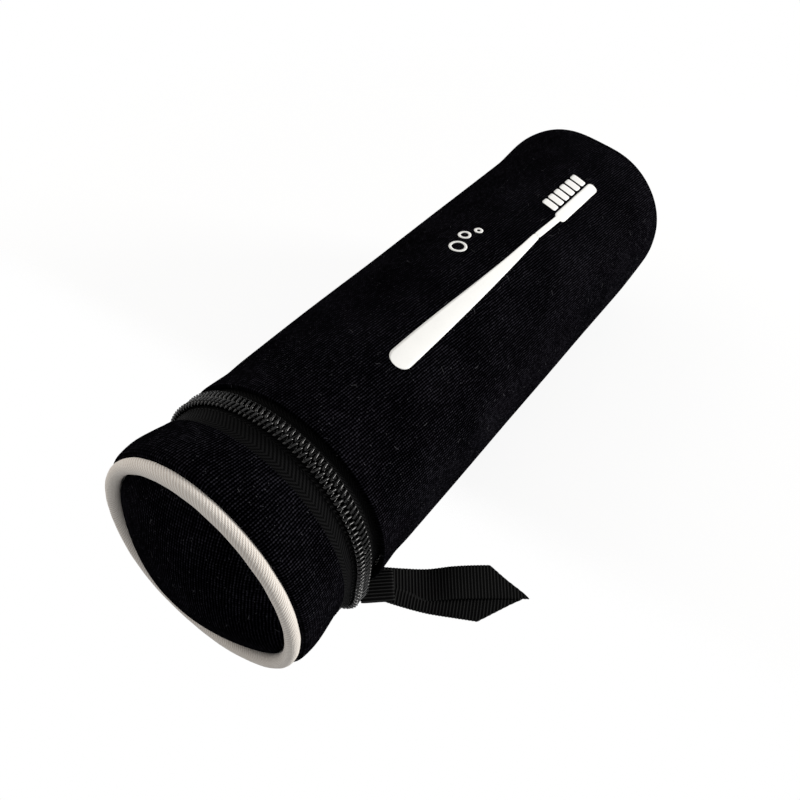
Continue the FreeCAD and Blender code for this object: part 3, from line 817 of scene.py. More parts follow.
def gloss(name, dark, light, roughness, level, scale):
    """Hard smooth finish: a near-even colour with faint clouds and fine handling marks."""
    material, tree = new_surface(name)
    place = add(tree, "ShaderNodeTexCoord").outputs["Object"]
    clouds = add(tree, "ShaderNodeTexNoise", {"Vector": place, "Scale": scale, "Detail": 4.0})
    marks = add(tree, "ShaderNodeTexNoise", {"Vector": place, "Scale": scale * 9, "Detail": 2.0})
    finish_surface(tree, marks.outputs[0], depth=0.01, strength=0.4, values={
        "Base Color": shades(tree, clouds.outputs[0], dark, light), "Specular IOR Level": level,
        "Roughness": calc(tree, "MULTIPLY_ADD", marks.outputs[0], roughness, roughness / 2)})
    return material


def new_tree(name, sizes, geometry=False):
    """Empty geometry tree with named number inputs."""
    tree = bpy.data.node_groups.new(name, "GeometryNodeTree")
    tree.interface.new_socket("Geometry", in_out="OUTPUT", socket_type="NodeSocketGeometry")
    if geometry:
        tree.interface.new_socket("Geometry", in_out="INPUT", socket_type="NodeSocketGeometry")
    for label in sizes:
        kind = "NodeSocketInt" if label == "Count" else "NodeSocketFloat"
        tree.interface.new_socket(label, in_out="INPUT", socket_type=kind)
    return tree, tree.nodes.new("NodeGroupInput").outputs


def close_tree(tree, shape, material):
    """Ends a tree: instances made real, smooth faces and the material."""
    real = add(tree, "GeometryNodeRealizeInstances", {"Geometry": shape})
    smoothed = add(tree, "GeometryNodeSetShadeSmooth", {"Geometry": real.outputs[0]})
    painted = add(tree, "GeometryNodeSetMaterial", {"Geometry": smoothed.outputs[0], "Material": material})
    tree.links.new(painted.outputs[0], tree.nodes.new("NodeGroupOutput").inputs[0])


def grown(name, tree, sizes, base=None):
    """Plain mesh piece that a geometry tree makes from its sizes."""
    source = placed(name, base or bpy.data.meshes.new(name))
    modifier = source.modifiers.new("tree", "NODES")
    modifier.node_group = tree
    sockets = {item.name: item.identifier for item in tree.interface.items_tree if item.in_out == "INPUT"}
    for label, size in sizes.items():
        modifier[sockets[label]] = size
    graph = bpy.context.evaluated_depsgraph_get()
    mesh = bpy.data.meshes.new_from_object(source.evaluated_get(graph), depsgraph=graph)
    source.modifiers.remove(modifier)
    source.data = mesh
    return source


def ring_place(tree, angle, radius, along, axis, line):
    """Vector of a point round the tube in a geometry tree."""
    return add(tree, "ShaderNodeCombineXYZ", {
        "X": calc(tree, "MULTIPLY", radius, calc(tree, "SINE", angle)),
        "Y": calc(tree, "ADD", line, along),
        "Z": calc(tree, "MULTIPLY_ADD", radius, calc(tree, "COSINE", angle), axis)}).outputs[0]


def ring_line(tree, size):
    """Line of points in a geometry tree, with each one's share along it and its angle round the tube."""
    line = add(tree, "GeometryNodeMeshLine", {"Count": size["Count"]})
    last = calc(tree, "SUBTRACT", size["Count"], 1)
    share = calc(tree, "DIVIDE", tree.nodes.new("GeometryNodeInputIndex").outputs[0], last)
    span = calc(tree, "SUBTRACT", size["End"], size["Start"])
    return line.outputs[0], share, calc(tree, "MULTIPLY_ADD", share, span, size["Start"])


def coil_tree(material):
    """Flat helix carried round the tube between two angles."""
    tree, size = new_tree("zip_coil", ("Count", "Start", "End", "Turns", "Phase", "Middle", "Half Width",
                                       "Ring Radius", "Half Height", "Wire Radius", "Axis Height",
                                       "Zip Line"))
    line, share, angle = ring_line(tree, size)
    full_turns = calc(tree, "MULTIPLY", size["Turns"], math.tau)
    phase = calc(tree, "MULTIPLY_ADD", share, full_turns, size["Phase"])
    along = calc(tree, "MULTIPLY_ADD", calc(tree, "COSINE", phase), size["Half Width"], size["Middle"])
    rise = calc(tree, "MULTIPLY_ADD", calc(tree, "SINE", calc(tree, "MULTIPLY", phase, 3)), 0.15,
                calc(tree, "SINE", phase))
    radius = calc(tree, "MULTIPLY_ADD", rise, size["Half Height"], size["Ring Radius"])
    place = ring_place(tree, angle, radius, along, size["Axis Height"], size["Zip Line"])
    thread = add(tree, "GeometryNodeMeshToCurve", {"Mesh": line})
    moved = add(tree, "GeometryNodeSetPosition", {"Geometry": thread.outputs[0], "Position": place})
    wire = add(tree, "GeometryNodeCurvePrimitiveCircle", {"Resolution": 8, "Radius": size["Wire Radius"]})
    tube = add(tree, "GeometryNodeCurveToMesh", {"Curve": moved.outputs[0], "Profile Curve": wire.outputs[0],
                                                 "Fill Caps": True})
    close_tree(tree, tube.outputs[0], material)
    return tree


black_nylon = gloss("black_nylon", (0.0002, 0.0002, 0.0002), (0.0008, 0.0008, 0.0008),
                    roughness=0.15, level=0.28, scale=900.0)
coil = coil_tree(black_nylon)
row_half = (COIL_EDGE + HEAD_REACH) / 2
for name, node, side, body in (("coil_body", "zip_coil_body", 1, "body"),
                               ("coil_lid", "zip_coil_lid", -1, "lid"),
                               ("coil_closed_end", "zip_coil_closed_end", -1, "body"),
                               ("coil_open_end", "zip_coil_open_end", -1, "body")):
    start, end = angles_of(node)
    turns = (end - start) * COIL_RING / COIL_PITCH
    shift = (start * COIL_RING / COIL_PITCH + (0.5 if side < 0 else 0)) * math.tau
    teeth = grown(name, coil, {
        "Count": round(turns * TURN_POINTS), "Start": start, "End": end, "Turns": turns, "Phase": shift,
        "Middle": side * (COIL_EDGE - row_half), "Half Width": side * (row_half - COIL_WIRE),
        "Ring Radius": COIL_RING, "Half Height": (COIL_TOP - COIL_FOOT) / 2 - COIL_WIRE,
        "Wire Radius": COIL_WIRE, "Axis Height": AXIS_Z, "Zip Line": ZIP_Y})
    settle(teeth, side)
    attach(teeth, body)
    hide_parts(node)


# Coil thread: the lockstitch that holds each coil to its tape, lying over the turns in a row, and a
# second row beside the coil.
STITCH_LENGTH = 1.35 * MM
STITCH_RADIUS = 0.13 * MM
OVER_COIL = 0.95 * MM
BESIDE_COIL = 0.35 * MM


def stitch_tree(material):
    """Row of stitches round the tube between two angles."""
    tree, size = new_tree("stitch_row", ("Count", "Start", "End", "Row", "Ring Radius", "Stitch Length",
                                         "Thread Radius", "Axis Height", "Zip Line"))
    line, angle = ring_line(tree, size)[::2]
    place = ring_place(tree, angle, size["Ring Radius"], size["Row"], size["Axis Height"], size["Zip Line"])
    points = add(tree, "GeometryNodeMeshToPoints", {"Mesh": line, "Position": place})
    bead = add(tree, "GeometryNodeMeshUVSphere", {"Segments": 8, "Rings": 5, "Radius": 1.0})
    shape = add(tree, "ShaderNodeCombineXYZ", {
        "X": calc(tree, "DIVIDE", size["Stitch Length"], 2), "Y": size["Thread Radius"],
        "Z": size["Thread Radius"]})
    turned = add(tree, "ShaderNodeCombineXYZ", {"Y": angle})
    stitches = add(tree, "GeometryNodeInstanceOnPoints", {
        "Points": points.outputs[0], "Instance": bead.outputs[0], "Rotation": turned.outputs[0],
        "Scale": shape.outputs[0]})
    close_tree(tree, stitches.outputs[0], material)
    return tree


black_thread = gloss("black_thread", (0.0005, 0.0005, 0.0005), (0.004, 0.004, 0.004),
                     roughness=0.5, level=0.05, scale=1500.0)
stitching = stitch_tree(black_thread)
for name, node, side, body in (("thread_body", "zip_coil_body", 1, "body"),
                               ("thread_lid", "zip_coil_lid", -1, "lid")):
    start, end = angles_of(node)
    for row, (along, radius) in enumerate(((COIL_EDGE - OVER_COIL, COIL_TOP),
                                           (COIL_EDGE + BESIDE_COIL, TAPE_RADIUS))):
        thread = grown(f"{name}_{row + 1}", stitching, {
            "Count": round((end - start) * radius / COIL_PITCH), "Start": start, "End": end,
            "Row": side * along, "Ring Radius": radius, "Stitch Length": STITCH_LENGTH,
            "Thread Radius": STITCH_RADIUS, "Axis Height": AXIS_Z, "Zip Line": ZIP_Y})
        settle(thread, side)
        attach(thread, body)


# End stops: a black enamelled metal bar at each end of the zip, clamped over both coil rows. The bail
# of the slider is a bent wire with the same enamel.
black_enamel = gloss("black_enamel", (0.004, 0.004, 0.004), (0.009, 0.009, 0.009),
                     roughness=0.3, level=0.5, scale=400.0)
black_enamel.node_tree.nodes["Principled BSDF"].inputs["Coat Weight"].default_value = 0.3
for node in ("zip_stop_closed_end", "zip_stop_open_end", "slider_bail"):
    frame["nodes"][node].data.materials.clear()
    frame["nodes"][node].data.materials.append(black_enamel)


# Hinge strip: one piece of the twill at the foot of the zip, where the lid folds. Its two edges are sewn
# under the mouths of the body and the lid.
HINGE_HALF = math.pi - angles_of("zip_tape_body")[1] - 0.3 * MM / TAPE_RADIUS
HINGE_BOW = 0.3 * MM
BOW_WIDTH = 2.5 * MM


def hinge_section(angle):
    """Strip from its edge under the lid to its edge under the body, bowed out a little at the fold."""
    points = []
    for step in range(25):
        along = LID_TAPE_EDGE + (BODY_TAPE_EDGE - LID_TAPE_EDGE) * step / 24
        points.append((along, TAPE_RADIUS - TAPE_SINK + HINGE_BOW * bump_at(along, BOW_WIDTH)))
    return points


hinge_strip = sheet_piece("hinge_strip", ring_grid(hinge_section, steps=40, start=math.pi - HINGE_HALF,
                                                   end=math.pi + HINGE_HALF), whole=False)
hinge_strip.data.materials.append(black_twill)
thicken(hinge_strip, TAPE_WALL)
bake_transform(hinge_strip)
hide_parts("hinge_leaf_body", "hinge_leaf_lid")


# Slider: a black enamelled casting. Its flanged top plate, broader at the nose, is joined to the lower
# plate by a post between the two rows, and carries the bail that the ribbon is hitched to.
slider_turns = angles_of("slider_body")
slider_radii = [math.hypot(vertex.co.x, vertex.co.z - AXIS_Z)
                for vertex in frame["nodes"]["slider_body"].data.vertices]
SLIDER_TOP = max(slider_radii)
SLIDER_FOOT = min(slider_radii)
SLIDER_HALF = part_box("slider_body")[1].y - ZIP_Y
SLIDER_LENGTH = (slider_turns[1] - slider_turns[0]) * COIL_TOP
PLATE = 1.0 * MM
PLATE_BOW = 0.35 * MM
PLATE_DOME = 0.45 * MM
PLATE_KEEL = 0.3 * MM
POST_HALF = 0.25 * MM
SLIDER_GAP = 0.3 * MM
TAIL_WIDTH = 0.86
NOSE_FLARE = 0.14
FLARE_START = 0.25
FLARE_LENGTH = 0.4
ROUND_ENDS = 5
ROUND_SHARE = 0.3
FLANGE_LEAST = 0.05 * MM
POST_START = 0.62
POST_END = 0.95


def slider_half(share):
    """Half width of the slider from tail (0) to nose (1), rounded off at both ends."""
    half = SLIDER_HALF * (TAIL_WIDTH + NOSE_FLARE * smooth((share - FLARE_START) / FLARE_LENGTH))
    ends = min(share, 1 - share) * ROUND_ENDS
    return half * (1 - ROUND_SHARE * (1 - min(ends, 1)) ** 2)


def top_loop(share):
    """Closed section of the flanged top plate, domed outwards."""
    half = slider_half(share)
    channel = COIL_EDGE + SLIDER_GAP
    under = COIL_TOP + SLIDER_GAP
    flange = TAPE_RADIUS + SLIDER_GAP
    if half < COIL_EDGE + 1.5 * SLIDER_GAP:
        flange = under - FLANGE_LEAST
    top = SLIDER_TOP - PLATE_BOW * (2 * share - 1) ** 4
    channel = min(channel, half - SLIDER_GAP)
    outer = [(half * math.sin(turn), top - PLATE_DOME * (1 - math.cos(turn)))
             for turn in [math.radians(15 * step) for step in range(-6, 7)]]
    return outer + [(half, flange), (channel, flange), (channel, under),
                    (-channel, under), (-channel, flange), (-half, flange)]


def lower_loop(share):
    """Closed section of the lower plate."""
    half = slider_half(share)
    return [(-half, SLIDER_FOOT + PLATE_KEEL), (0, SLIDER_FOOT), (half, SLIDER_FOOT + PLATE_KEEL),
            (half, SLIDER_FOOT + PLATE), (-half, SLIDER_FOOT + PLATE)]


def post_loop(share):
    """Closed section of the post between the rows."""
    return [(-POST_HALF, SLIDER_FOOT + PLATE / 2), (POST_HALF, SLIDER_FOOT + PLATE / 2),
            (POST_HALF, SLIDER_TOP - PLATE / 2), (-POST_HALF, SLIDER_TOP - PLATE / 2)]


casting = bmesh.new()
for loop, first, last, steps in ((top_loop, 0.0, 1.0, 24), (lower_loop, 0.0, 1.0, 24),
                                 (post_loop, POST_START, POST_END, 4)):
    rings = []
    for step in range(steps + 1):
        share = first + (last - first) * step / steps
        turn = SLIDER_TURN + (share - 0.5) * SLIDER_LENGTH / COIL_TOP
        rings.append([casting.verts.new(tube_point(along, radius, turn)) for along, radius in loop(share)])
    for before, after in zip(rings, rings[1:]):
        for column in range(len(before)):
            beside = (column + 1) % len(before)
            casting.faces.new((before[column], before[beside], after[beside], after[column]))
    casting.faces.new(rings[0])
    casting.faces.new(rings[-1][::-1])
bmesh.ops.recalc_face_normals(casting, faces=casting.faces)
slider_mesh = bpy.data.meshes.new("slider_casting")
casting.to_mesh(slider_mesh)
casting.free()
slider_casting = placed("slider_casting", slider_mesh)
slider_mesh.materials.append(black_enamel)
edge = slider_casting.modifiers.new("edge", "BEVEL")
edge.width = 0.12 * MM
edge.segments = 2
edge.limit_method = "ANGLE"
edge.angle_limit = math.radians(35)
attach(slider_casting, "slider")
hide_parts("slider_body")


# Ribbon pull: one length of black grosgrain, looped through the bail, hitched round itself and cut on
# the slant at both tails. The front tail stands a little on its edge, and the back one lies flat.
RIBBON_HALF = 5 * MM
RIBBON_WALL = 0.16 * MM
RIB_PITCH = 1.0 * MM
RIB_HEIGHT = 0.13 * MM
ACROSS_STEPS = 20
KNOT = Vector((29.0 * MM, ZIP_Y + 12.9 * MM, 4.2 * MM))
KNOT_TURN = math.radians(40)
KNOT_TILT = math.radians(21)
KNOT_THICK = 1.2 * MM
KNOT_WIDE = 4.6 * MM
TAIL_REACH = 47 * MM
FRONT_START = Vector((27.9 * MM, ZIP_Y + 14.1 * MM, 0))
FRONT_TURN = math.radians(36.4)
FRONT_LIFTS = (4.6, 2.9, 2.1, 3.2, 3.4, 3.1, 2.7)
FRONT_TILTS = (23, 19, 14, 19, 25, 26, 25)
FRONT_CUTS = (34.9 * MM, 46 * MM)
BACK_START = Vector((29.2 * MM, ZIP_Y + 13.9 * MM, 0))
BACK_TURN = math.radians(25)
BACK_LIFTS = (3.8, 2.0, 0.7, 0.45, 0.45, 0.45, 0.45)
BACK_TILTS = (14, 9, 4, 1, 0, 0, 0)
BACK_CUTS = (42.6 * MM, 30.5 * MM)
NECK_NEAR = 3.5 * MM
NECK_FAR = 6.5 * MM
NECK_SPLIT = 0.4 * MM
LOOP_RUN = 6 * MM
LOOP_AHEAD = 2.5 * MM
LOOP_BEHIND = 1.4 * MM
LOOP_END = 2.6 * MM
SWING_ROOM = 0.27
CASE_GAP = 0.3 * MM
FLOOR_GAP = 0.25 * MM
MOUTH_EASE = 3 * MM


def ahead(turn):
    """Level direction at a turn from +X."""
    return Vector((math.cos(turn), math.sin(turn), 0))


def left_of(turn, tilt=0.0):
    """Direction to the left of a level one, tilted up."""
    return Vector((-math.sin(turn) * math.cos(tilt), math.cos(turn) * math.cos(tilt), math.sin(tilt)))


def between(values, share):
    """Smooth value through evenly spaced ones (a Catmull-Rom curve)."""
    span = share * (len(values) - 1)
    index = min(int(span), len(values) - 2)
    t = span - index
    before = values[max(index - 1, 0)]
    after = values[min(index + 2, len(values) - 1)]
    here, there = values[index], values[index + 1]
    return (here * 2 + (there - before) * t + (before * 2 - here * 5 + there * 4 - after) * t ** 2
            + (here * 3 - before - there * 3 + after) * t ** 3) * 0.5


def ribbon_run(points, sides, widths, left=1.0, right=1.0, pleats=0.0):
    """Length of ribbon along points, with its sides; left and right are where its edges are cut.

    Gives closed cross rows of points, and how far along the ribbon each one is.
    """
    samples = 400
    line = [between(points, step / samples) for step in range(samples + 1)]
    reach = [0.0]
    for one, two in zip(line, line[1:]):
        reach.append(reach[-1] + (two - one).length)
    steps = max(24, round(reach[-1] / RIB_PITCH * 8))
    rows, phases = [], []
    for step in range(steps + 1):
        row, phase = [], []
        for face in (1, -1):
            for column in range(ACROSS_STEPS + 1):
                across = (2 * column / ACROSS_STEPS - 1) * face
                share = step / steps * (right + (left - right) * (across + 1) / 2)
                spot = between(points, share)
                onward = between(points, min(share + 0.002, 1.0)) - between(points, max(share - 0.002, 0.0))
                side = between(sides, share).normalized()
                normal = onward.cross(side).normalized()
                width = between(widths, share)
                edge = RIBBON_WALL * (1 - 0.6 * across ** 8)
                fold = pleats * math.sin(across * math.pi * 1.5)
                row.append(spot + side * (across * width) + normal * (face * edge + fold))
                index = min(int(share * samples), samples - 1)
                part = share * samples - index
                phase.append((reach[index] + (reach[index + 1] - reach[index]) * part) / MM)
        rows.append(row)
        phases.append(phase)
    return rows, phases


def tail(start, turn, lifts, tilts, cut_left, cut_right):
    """Tail from a start along a turn, with its lift and tilt at even steps, cut off at each edge."""
    last = len(lifts) - 1
    points = [start + ahead(turn) * (TAIL_REACH * step / last) for step in range(last + 1)]
    for point, lift in zip(points, lifts):
        point.z = lift * MM
    sides = [left_of(turn, math.radians(tilt)) for tilt in tilts]
    widths = [0.88 * RIBBON_HALF, 0.95 * RIBBON_HALF] + [RIBBON_HALF] * (last - 1)
    return ribbon_run(points, sides, widths, cut_left / TAIL_REACH, cut_right / TAIL_REACH)


front = tail(FRONT_START, FRONT_TURN, FRONT_LIFTS, FRONT_TILTS, *FRONT_CUTS)
back = tail(BACK_START, BACK_TURN, BACK_LIFTS, BACK_TILTS, *BACK_CUTS)
knot_side = left_of(KNOT_TURN, KNOT_TILT)
knot_up = ahead(KNOT_TURN).cross(knot_side)
wrap_points = []
for step in range(17):
    turn = math.tau * step / 16 - math.pi / 2
    squared = math.copysign(abs(math.cos(turn)) ** 0.7, math.cos(turn))
    wrap_points.append(KNOT + knot_side * (KNOT_WIDE * squared) + knot_up * (KNOT_THICK * math.sin(turn)))
wrap = ribbon_run(wrap_points, [ahead(KNOT_TURN)] * 17, [RIBBON_HALF] * 17)
eye = next(joint for joint in frame["joints"] if joint["name"] == "pull_swing")["pos_m"]
park = Vector((math.cos(SLIDER_TURN), 0, -math.sin(SLIDER_TURN)))
outward = Vector((math.sin(SLIDER_TURN), 0, math.cos(SLIDER_TURN)))
BAIL_OVER = 2.85 * MM
loop_in = Vector(eye)
loop_out = loop_in + outward * BAIL_OVER
sidewards = Vector((0, 1, 0))
knot_near = KNOT - ahead(KNOT_TURN) * NECK_NEAR
knot_far = KNOT - ahead(KNOT_TURN) * NECK_FAR
neck_points = [knot_near - knot_up * NECK_SPLIT, (knot_far + loop_in + sidewards * LOOP_RUN) / 2,
               loop_in + sidewards * LOOP_AHEAD, loop_in - sidewards * LOOP_BEHIND,
               (loop_in + loop_out) / 2 - sidewards * LOOP_END, loop_out - sidewards * LOOP_BEHIND,
               loop_out + sidewards * LOOP_AHEAD, (knot_far + loop_out + sidewards * LOOP_RUN) / 2,
               knot_near + knot_up * NECK_SPLIT]
half_way = (knot_side - park).normalized()
neck_sides = [knot_side, half_way, -park, -park, -park, -park, -park, half_way, knot_side]
neck_widths = [width * MM for width in (4.1, 3.0, 1.3, 1.3, 1.3, 1.3, 1.3, 3.0, 4.1)]
neck = ribbon_run(neck_points, neck_sides, neck_widths, pleats=0.12 * MM)


def clear_of_case(point):
    """Point of the ribbon, pressed down under the cover with room to swing, and kept off the floor."""
    along = point.y - ZIP_Y
    up = point.z - AXIS_Z
    reach = math.hypot(point.x, up)
    room = SWING_ROOM * math.hypot(point.x - eye[0], point.z - eye[2])
    least = body_radius(max(along, BODY_MOUTH), math.atan2(point.x, up)) + SWELL + CASE_GAP + room
    push = max(least - reach, 0.0) / reach * smooth((along - BODY_MOUTH + MOUTH_EASE) / MOUTH_EASE)
    return Vector((point.x * (1 + push), point.y, max(AXIS_Z + up * (1 + push), FLOOR_GAP)))


ribbon_mesh = bmesh.new()
phase_layer = ribbon_mesh.verts.layers.float.new("rib_place")
flat_layer = ribbon_mesh.loops.layers.uv.new("threads")
for rows, phases in (front, back, wrap, neck):
    rings = []
    for row, phase in zip(rows, phases):
        ring = []
        for point, place in zip(row, phase):
            vertex = ribbon_mesh.verts.new(clear_of_case(point))
            vertex[phase_layer] = place
            ring.append(vertex)
        rings.append(ring)
    count = len(rings[0])
    for before, after in zip(rings, rings[1:]):
        for column in range(count):
            beside = (column + 1) % count
            face = ribbon_mesh.faces.new((before[column], before[beside], after[beside], after[column]))
            for corner, across in zip(face.loops, (column, column + 1, column + 1, column)):
                corner[flat_layer].uv = (across * 2 * RIBBON_HALF / MM / ACROSS_STEPS,
                                         corner.vert[phase_layer])
    ribbon_mesh.faces.new(rings[0][::-1])
    ribbon_mesh.faces.new(rings[-1])
bmesh.ops.recalc_face_normals(ribbon_mesh, faces=ribbon_mesh.faces)
ribbon_base = bpy.data.meshes.new("ribbon")
ribbon_mesh.to_mesh(ribbon_base)
ribbon_mesh.free()


def grosgrain(name, dark, light, pitch):
    """Corded ribbon: fine warp threads over the ribs, with painted highlights along the rib tops."""
    material, tree = new_surface(name)
    axes = add(tree, "ShaderNodeSeparateXYZ",
               {"Vector": add(tree, "ShaderNodeUVMap", uv_map="threads").outputs[0]})
    warp = calc(tree, "SINE", calc(tree, "MULTIPLY", axes.outputs[0], math.tau / 0.28))
    rib = calc(tree, "ABSOLUTE", calc(tree, "SINE", calc(tree, "MULTIPLY", axes.outputs[1], math.pi / pitch)))
    height = calc(tree, "MULTIPLY_ADD", warp, 0.3, 0.5)
    # Painted highlight: the colour turns sharply lighter on each rib top, standing in for the light the
    # raised ribs catch.
    tone = calc(tree, "MULTIPLY_ADD", calc(tree, "POWER", rib, 9), 0.9, calc(tree, "MULTIPLY", warp, 0.03))
    finish_surface(tree, height, depth=0.05, strength=0.7, values={
        "Base Color": shades(tree, tone, dark, light), "Roughness": 0.55, "Specular IOR Level": 0.03})
    return material


def rib_tree(material):
    """Raises a ribbon's ribs along its own length."""
    tree, size = new_tree("ribbon_ribs", ("Rib Pitch", "Rib Height"), geometry=True)
    place = add(tree, "GeometryNodeInputNamedAttribute", {"Name": "rib_place"}, data_type="FLOAT")
    half_turns = calc(tree, "MULTIPLY", place.outputs[0], math.pi)
    wave = calc(tree, "SINE", calc(tree, "DIVIDE", half_turns, size["Rib Pitch"]))
    rise = calc(tree, "MULTIPLY", calc(tree, "ABSOLUTE", wave), size["Rib Height"])
    offset = add(tree, "ShaderNodeVectorMath", {0: tree.nodes.new("GeometryNodeInputNormal").outputs[0]},
                 operation="SCALE")
    tree.links.new(rise, offset.inputs["Scale"])
    raised = add(tree, "GeometryNodeSetPosition", {"Geometry": size["Geometry"], "Offset": offset.outputs[0]})
    close_tree(tree, raised.outputs[0], material)
    return tree


# The light shade of black_grosgrain is the painted highlight along the rib tops.
black_grosgrain = grosgrain("black_grosgrain", (0.0001, 0.0001, 0.0001), (0.03, 0.03, 0.03), RIB_PITCH / MM)
ribbon = grown("ribbon", rib_tree(black_grosgrain),
               {"Rib Pitch": RIB_PITCH / MM, "Rib Height": RIB_HEIGHT}, ribbon_base)
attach(ribbon, "pull")
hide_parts("ribbon_pull")


# Print: a plain white film cut to the shape of a toothbrush, with three bubbles beside it, and pressed
# with heat on the body's cover.
PRINT_TURN = math.radians(25)
PRINT_START = 42 * MM
PRINT_WALL = 0.12 * MM
BUBBLE_TURN = math.radians(2)
graph = bpy.context.evaluated_depsgraph_get()
cover_faces = BVHTree.FromObject(body_cover, graph)


def printed(shape, turn):
    """Points of a flat shape laid on the cover, from a grid of places along the tube and up from turn."""
    laid = []
    for row in shape:
        laid.append([])
        for along, upward in row:
            angle = turn - upward * MM / BODY_RADIUS
            outside = tube_point(PRINT_START + along * MM, BODY_RADIUS * 1.5, angle)
            inward = tube_point(PRINT_START + along * MM, BODY_RADIUS * 0.5, angle) - outside
            spot, normal = cover_faces.ray_cast(outside, inward.normalized())[:2]
            laid[-1].append(spot + normal * (PRINT_WALL / 4))
    return laid


def slab(start, end, low, high, corner, steps=24):
    """Flat rounded bar; low and high give its edges from the share along it."""
    rows = []
    for step in range(steps + 1):
        share = 0.5 - 0.5 * math.cos(math.pi * step / steps)
        along = start + (end - start) * share
        inset = max(corner - min(along - start, end - along), 0)
        shrink = corner - math.sqrt(max(corner ** 2 - inset ** 2, 0))
        shrink = min(shrink, 0.45 * (high(share) - low(share)))
        bottom, top = low(share) + shrink, high(share) - shrink
        rows.append([(along, bottom + (top - bottom) * column / 8) for column in range(9)])
    return rows


def bubble(along, upward, radius, wall):
    """Flat ring."""
    rows = []
    for step in range(33):
        turn = math.tau * step / 32
        rows.append([(along + r * math.cos(turn), upward + r * math.sin(turn))
                     for r in (radius - wall, radius - wall / 2, radius)])
    return rows


handle = slab(-2, 82, lambda s: -4.8 + 2.4 * s ** 2, lambda s: 2.4 - 2.6 * smooth(s * 1.1), 3.4, 60)
neck_bar = slab(80, 96, lambda s: -2.5 - 0.6 * s, lambda s: -0.3 - 0.6 * s, 0.5)
head_bar = slab(94, 123, lambda s: -4.2, lambda s: 0.0, 2.0, 36)
shapes = [printed(shape, PRINT_TURN) for shape in (handle, neck_bar, head_bar)]
for tuft in range(6):
    begin = 96.2 + 4.3 * tuft
    shapes.append(printed(slab(begin, begin + 3.3, lambda s: 0.8, lambda s: 6.4, 0.8), PRINT_TURN))
for along, upward, radius in ((53.5, -0.4, 3.0), (60.4, 1.4, 2.2), (65.4, -0.9, 1.5)):
    shapes.append(printed(bubble(along, upward, radius, 0.9), BUBBLE_TURN))
points, faces = [], []
for shape in shapes:
    first, columns = len(points), len(shape[0])
    points += [point for row in shape for point in row]
    for row in range(len(shape) - 1):
        for column in range(columns - 1):
            corner = first + row * columns + column
            faces.append((corner, corner + columns, corner + columns + 1, corner + 1))
print_mesh = bpy.data.meshes.new("print_brush")
print_mesh.from_pydata(points, [], faces)
shape = bmesh.new()
shape.from_mesh(print_mesh)
bmesh.ops.remove_doubles(shape, verts=shape.verts, dist=0.01 * MM)
for face in shape.faces:
    if face.normal.dot(face.calc_center_median() - Vector((0, face.calc_center_median().y, AXIS_Z))) < 0:
        face.normal_flip()
shape.to_mesh(print_mesh)
shape.free()
print_mesh.shade_smooth()


def transfer(name, dark, light):
    """Heat-pressed white film: the weave shows through it faintly."""
    material, tree = new_surface(name)
    place = add(tree, "ShaderNodeTexCoord").outputs["Object"]
    grain = add(tree, "ShaderNodeTexNoise", {"Vector": place, "Scale": 1400.0, "Detail": 2.0})
    clouds = add(tree, "ShaderNodeTexNoise", {"Vector": place, "Scale": 90.0, "Detail": 3.0})
    finish_surface(tree, grain.outputs[0], depth=0.05, strength=0.6, values={
        "Base Color": shades(tree, clouds.outputs[0], dark, light), "Roughness": 0.55})
    return material


print_mesh.materials.append(transfer("white_transfer", (0.80, 0.80, 0.78), (0.9, 0.9, 0.88)))
print_brush = placed("print_brush", print_mesh)
film = print_brush.modifiers.new("film", "SOLIDIFY")
film.thickness = PRINT_WALL
film.offset = 1
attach(print_brush, "body")


# Studio: a white floor that fades out before the zip, where the open lid and the ribbon pass below it,
# and far from the case, with a soft lamp on each side and the camera of the photograph.
FLOOR_HALF = 1.5
FLOOR_DROP = 0.2 * MM
GLOW_SHARE = 0.85
FRONT_FADE = 48 * MM
FRONT_FADE_LENGTH = 24 * MM
FAR_FADE = 0.42
FAR_FADE_LENGTH = 0.2
WORLD_LIGHT = 0.45
floor_mesh = bpy.data.meshes.new("floor")
floor_mesh.from_pydata([(-FLOOR_HALF, -FLOOR_HALF, -FLOOR_DROP), (FLOOR_HALF, -FLOOR_HALF, -FLOOR_DROP),
                        (FLOOR_HALF, FLOOR_HALF, -FLOOR_DROP), (-FLOOR_HALF, FLOOR_HALF, -FLOOR_DROP)],
                       [], [(0, 1, 2, 3)])
floor = placed("floor", floor_mesh)


def seen_directly(tree):
    """1 for rays from the camera, straight or by way of a mirror or a clear piece, and 0 for others."""
    ray = tree.nodes.new("ShaderNodeLightPath").outputs
    turned = calc(tree, "MAXIMUM", ray["Is Glossy Ray"], ray["Is Transmission Ray"])
    return calc(tree, "MAXIMUM", ray["Is Camera Ray"], turned)


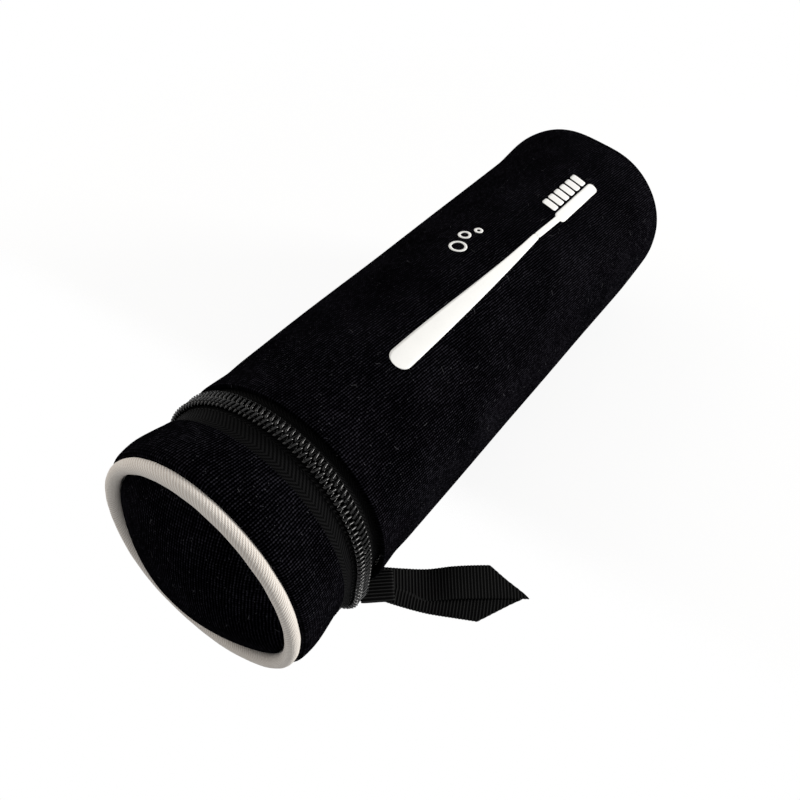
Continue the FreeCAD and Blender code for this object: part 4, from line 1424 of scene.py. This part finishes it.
floor_white, tree = new_surface("floor_white")
tree.nodes.clear()
middle = add(tree, "ShaderNodeTexCoord").outputs["Object"]
place = add(tree, "ShaderNodeSeparateXYZ", {"Vector": middle})
lit = add(tree, "ShaderNodeBsdfDiffuse", {"Color": (0.9, 0.9, 0.9, 1)})
glow = add(tree, "ShaderNodeEmission", {"Color": (1, 1, 1, 1), "Strength": 1.03})
pale = add(tree, "ShaderNodeMixShader", {0: calc(tree, "MULTIPLY", seen_directly(tree), GLOW_SHARE),
                                         1: lit.outputs[0], 2: glow.outputs[0]})
past_pull = calc(tree, "SUBTRACT", place.outputs[1], ZIP_Y + FRONT_FADE)
behind_pull = calc(tree, "DIVIDE", past_pull, FRONT_FADE_LENGTH)
spread = add(tree, "ShaderNodeVectorMath", {0: middle}, operation="LENGTH").outputs["Value"]
near_case = calc(tree, "DIVIDE", calc(tree, "SUBTRACT", FAR_FADE, spread), FAR_FADE_LENGTH)
solid = add(tree, "ShaderNodeMapRange", {"Value": calc(tree, "MINIMUM", behind_pull, near_case)},
            interpolation_type="SMOOTHSTEP")
clear = tree.nodes.new("ShaderNodeBsdfTransparent")
shown = add(tree, "ShaderNodeMixShader", {0: solid.outputs[0], 1: clear.outputs[0], 2: pale.outputs[0]})
tree.links.new(shown.outputs[0], tree.nodes.new("ShaderNodeOutputMaterial").inputs[0])
floor_mesh.materials.append(floor_white)

world = bpy.data.worlds.new("studio")
world.use_nodes = True
tree = world.node_tree
put(tree, tree.nodes["Background"], {
    "Color": (1, 1, 1, 1),
    "Strength": calc(tree, "MULTIPLY_ADD", seen_directly(tree), 1 - WORLD_LIGHT, WORLD_LIGHT)})
bpy.context.scene.world = world

for name, spot, size, power, colour in (
        ("lamp_right", (0.86, 0.55, 0.26), 0.35, 13.0, (1.0, 0.98, 0.95)),
        ("lamp_left", (-0.75, -0.2, 0.5), 0.8, 3.6, (1.0, 0.93, 0.85))):
    lamp = bpy.data.lights.new(name, "AREA")
    lamp.size = size
    lamp.energy = power
    lamp.color = colour
    holder = placed(name, lamp)
    holder.location = spot
    holder.rotation_euler = (Vector((0, 0, AXIS_Z)) - Vector(spot)).to_track_quat("-Z", "Y").to_euler()

CAMERA_SPOT = Vector((0.11545, -0.1967, 0.2118))
CAMERA_AIM = Vector((-0.4232, 0.5953, -0.6830))
LENS = 36.2
view = bpy.data.cameras.new("camera")
view.lens = LENS
view.sensor_width = 36
view.clip_start = 0.01
camera = placed("camera", view)
camera.location = CAMERA_SPOT
camera.rotation_euler = CAMERA_AIM.to_track_quat("-Z", "Y").to_euler()
bpy.context.scene.camera = camera
bpy.context.scene.view_settings.view_transform = "Standard"
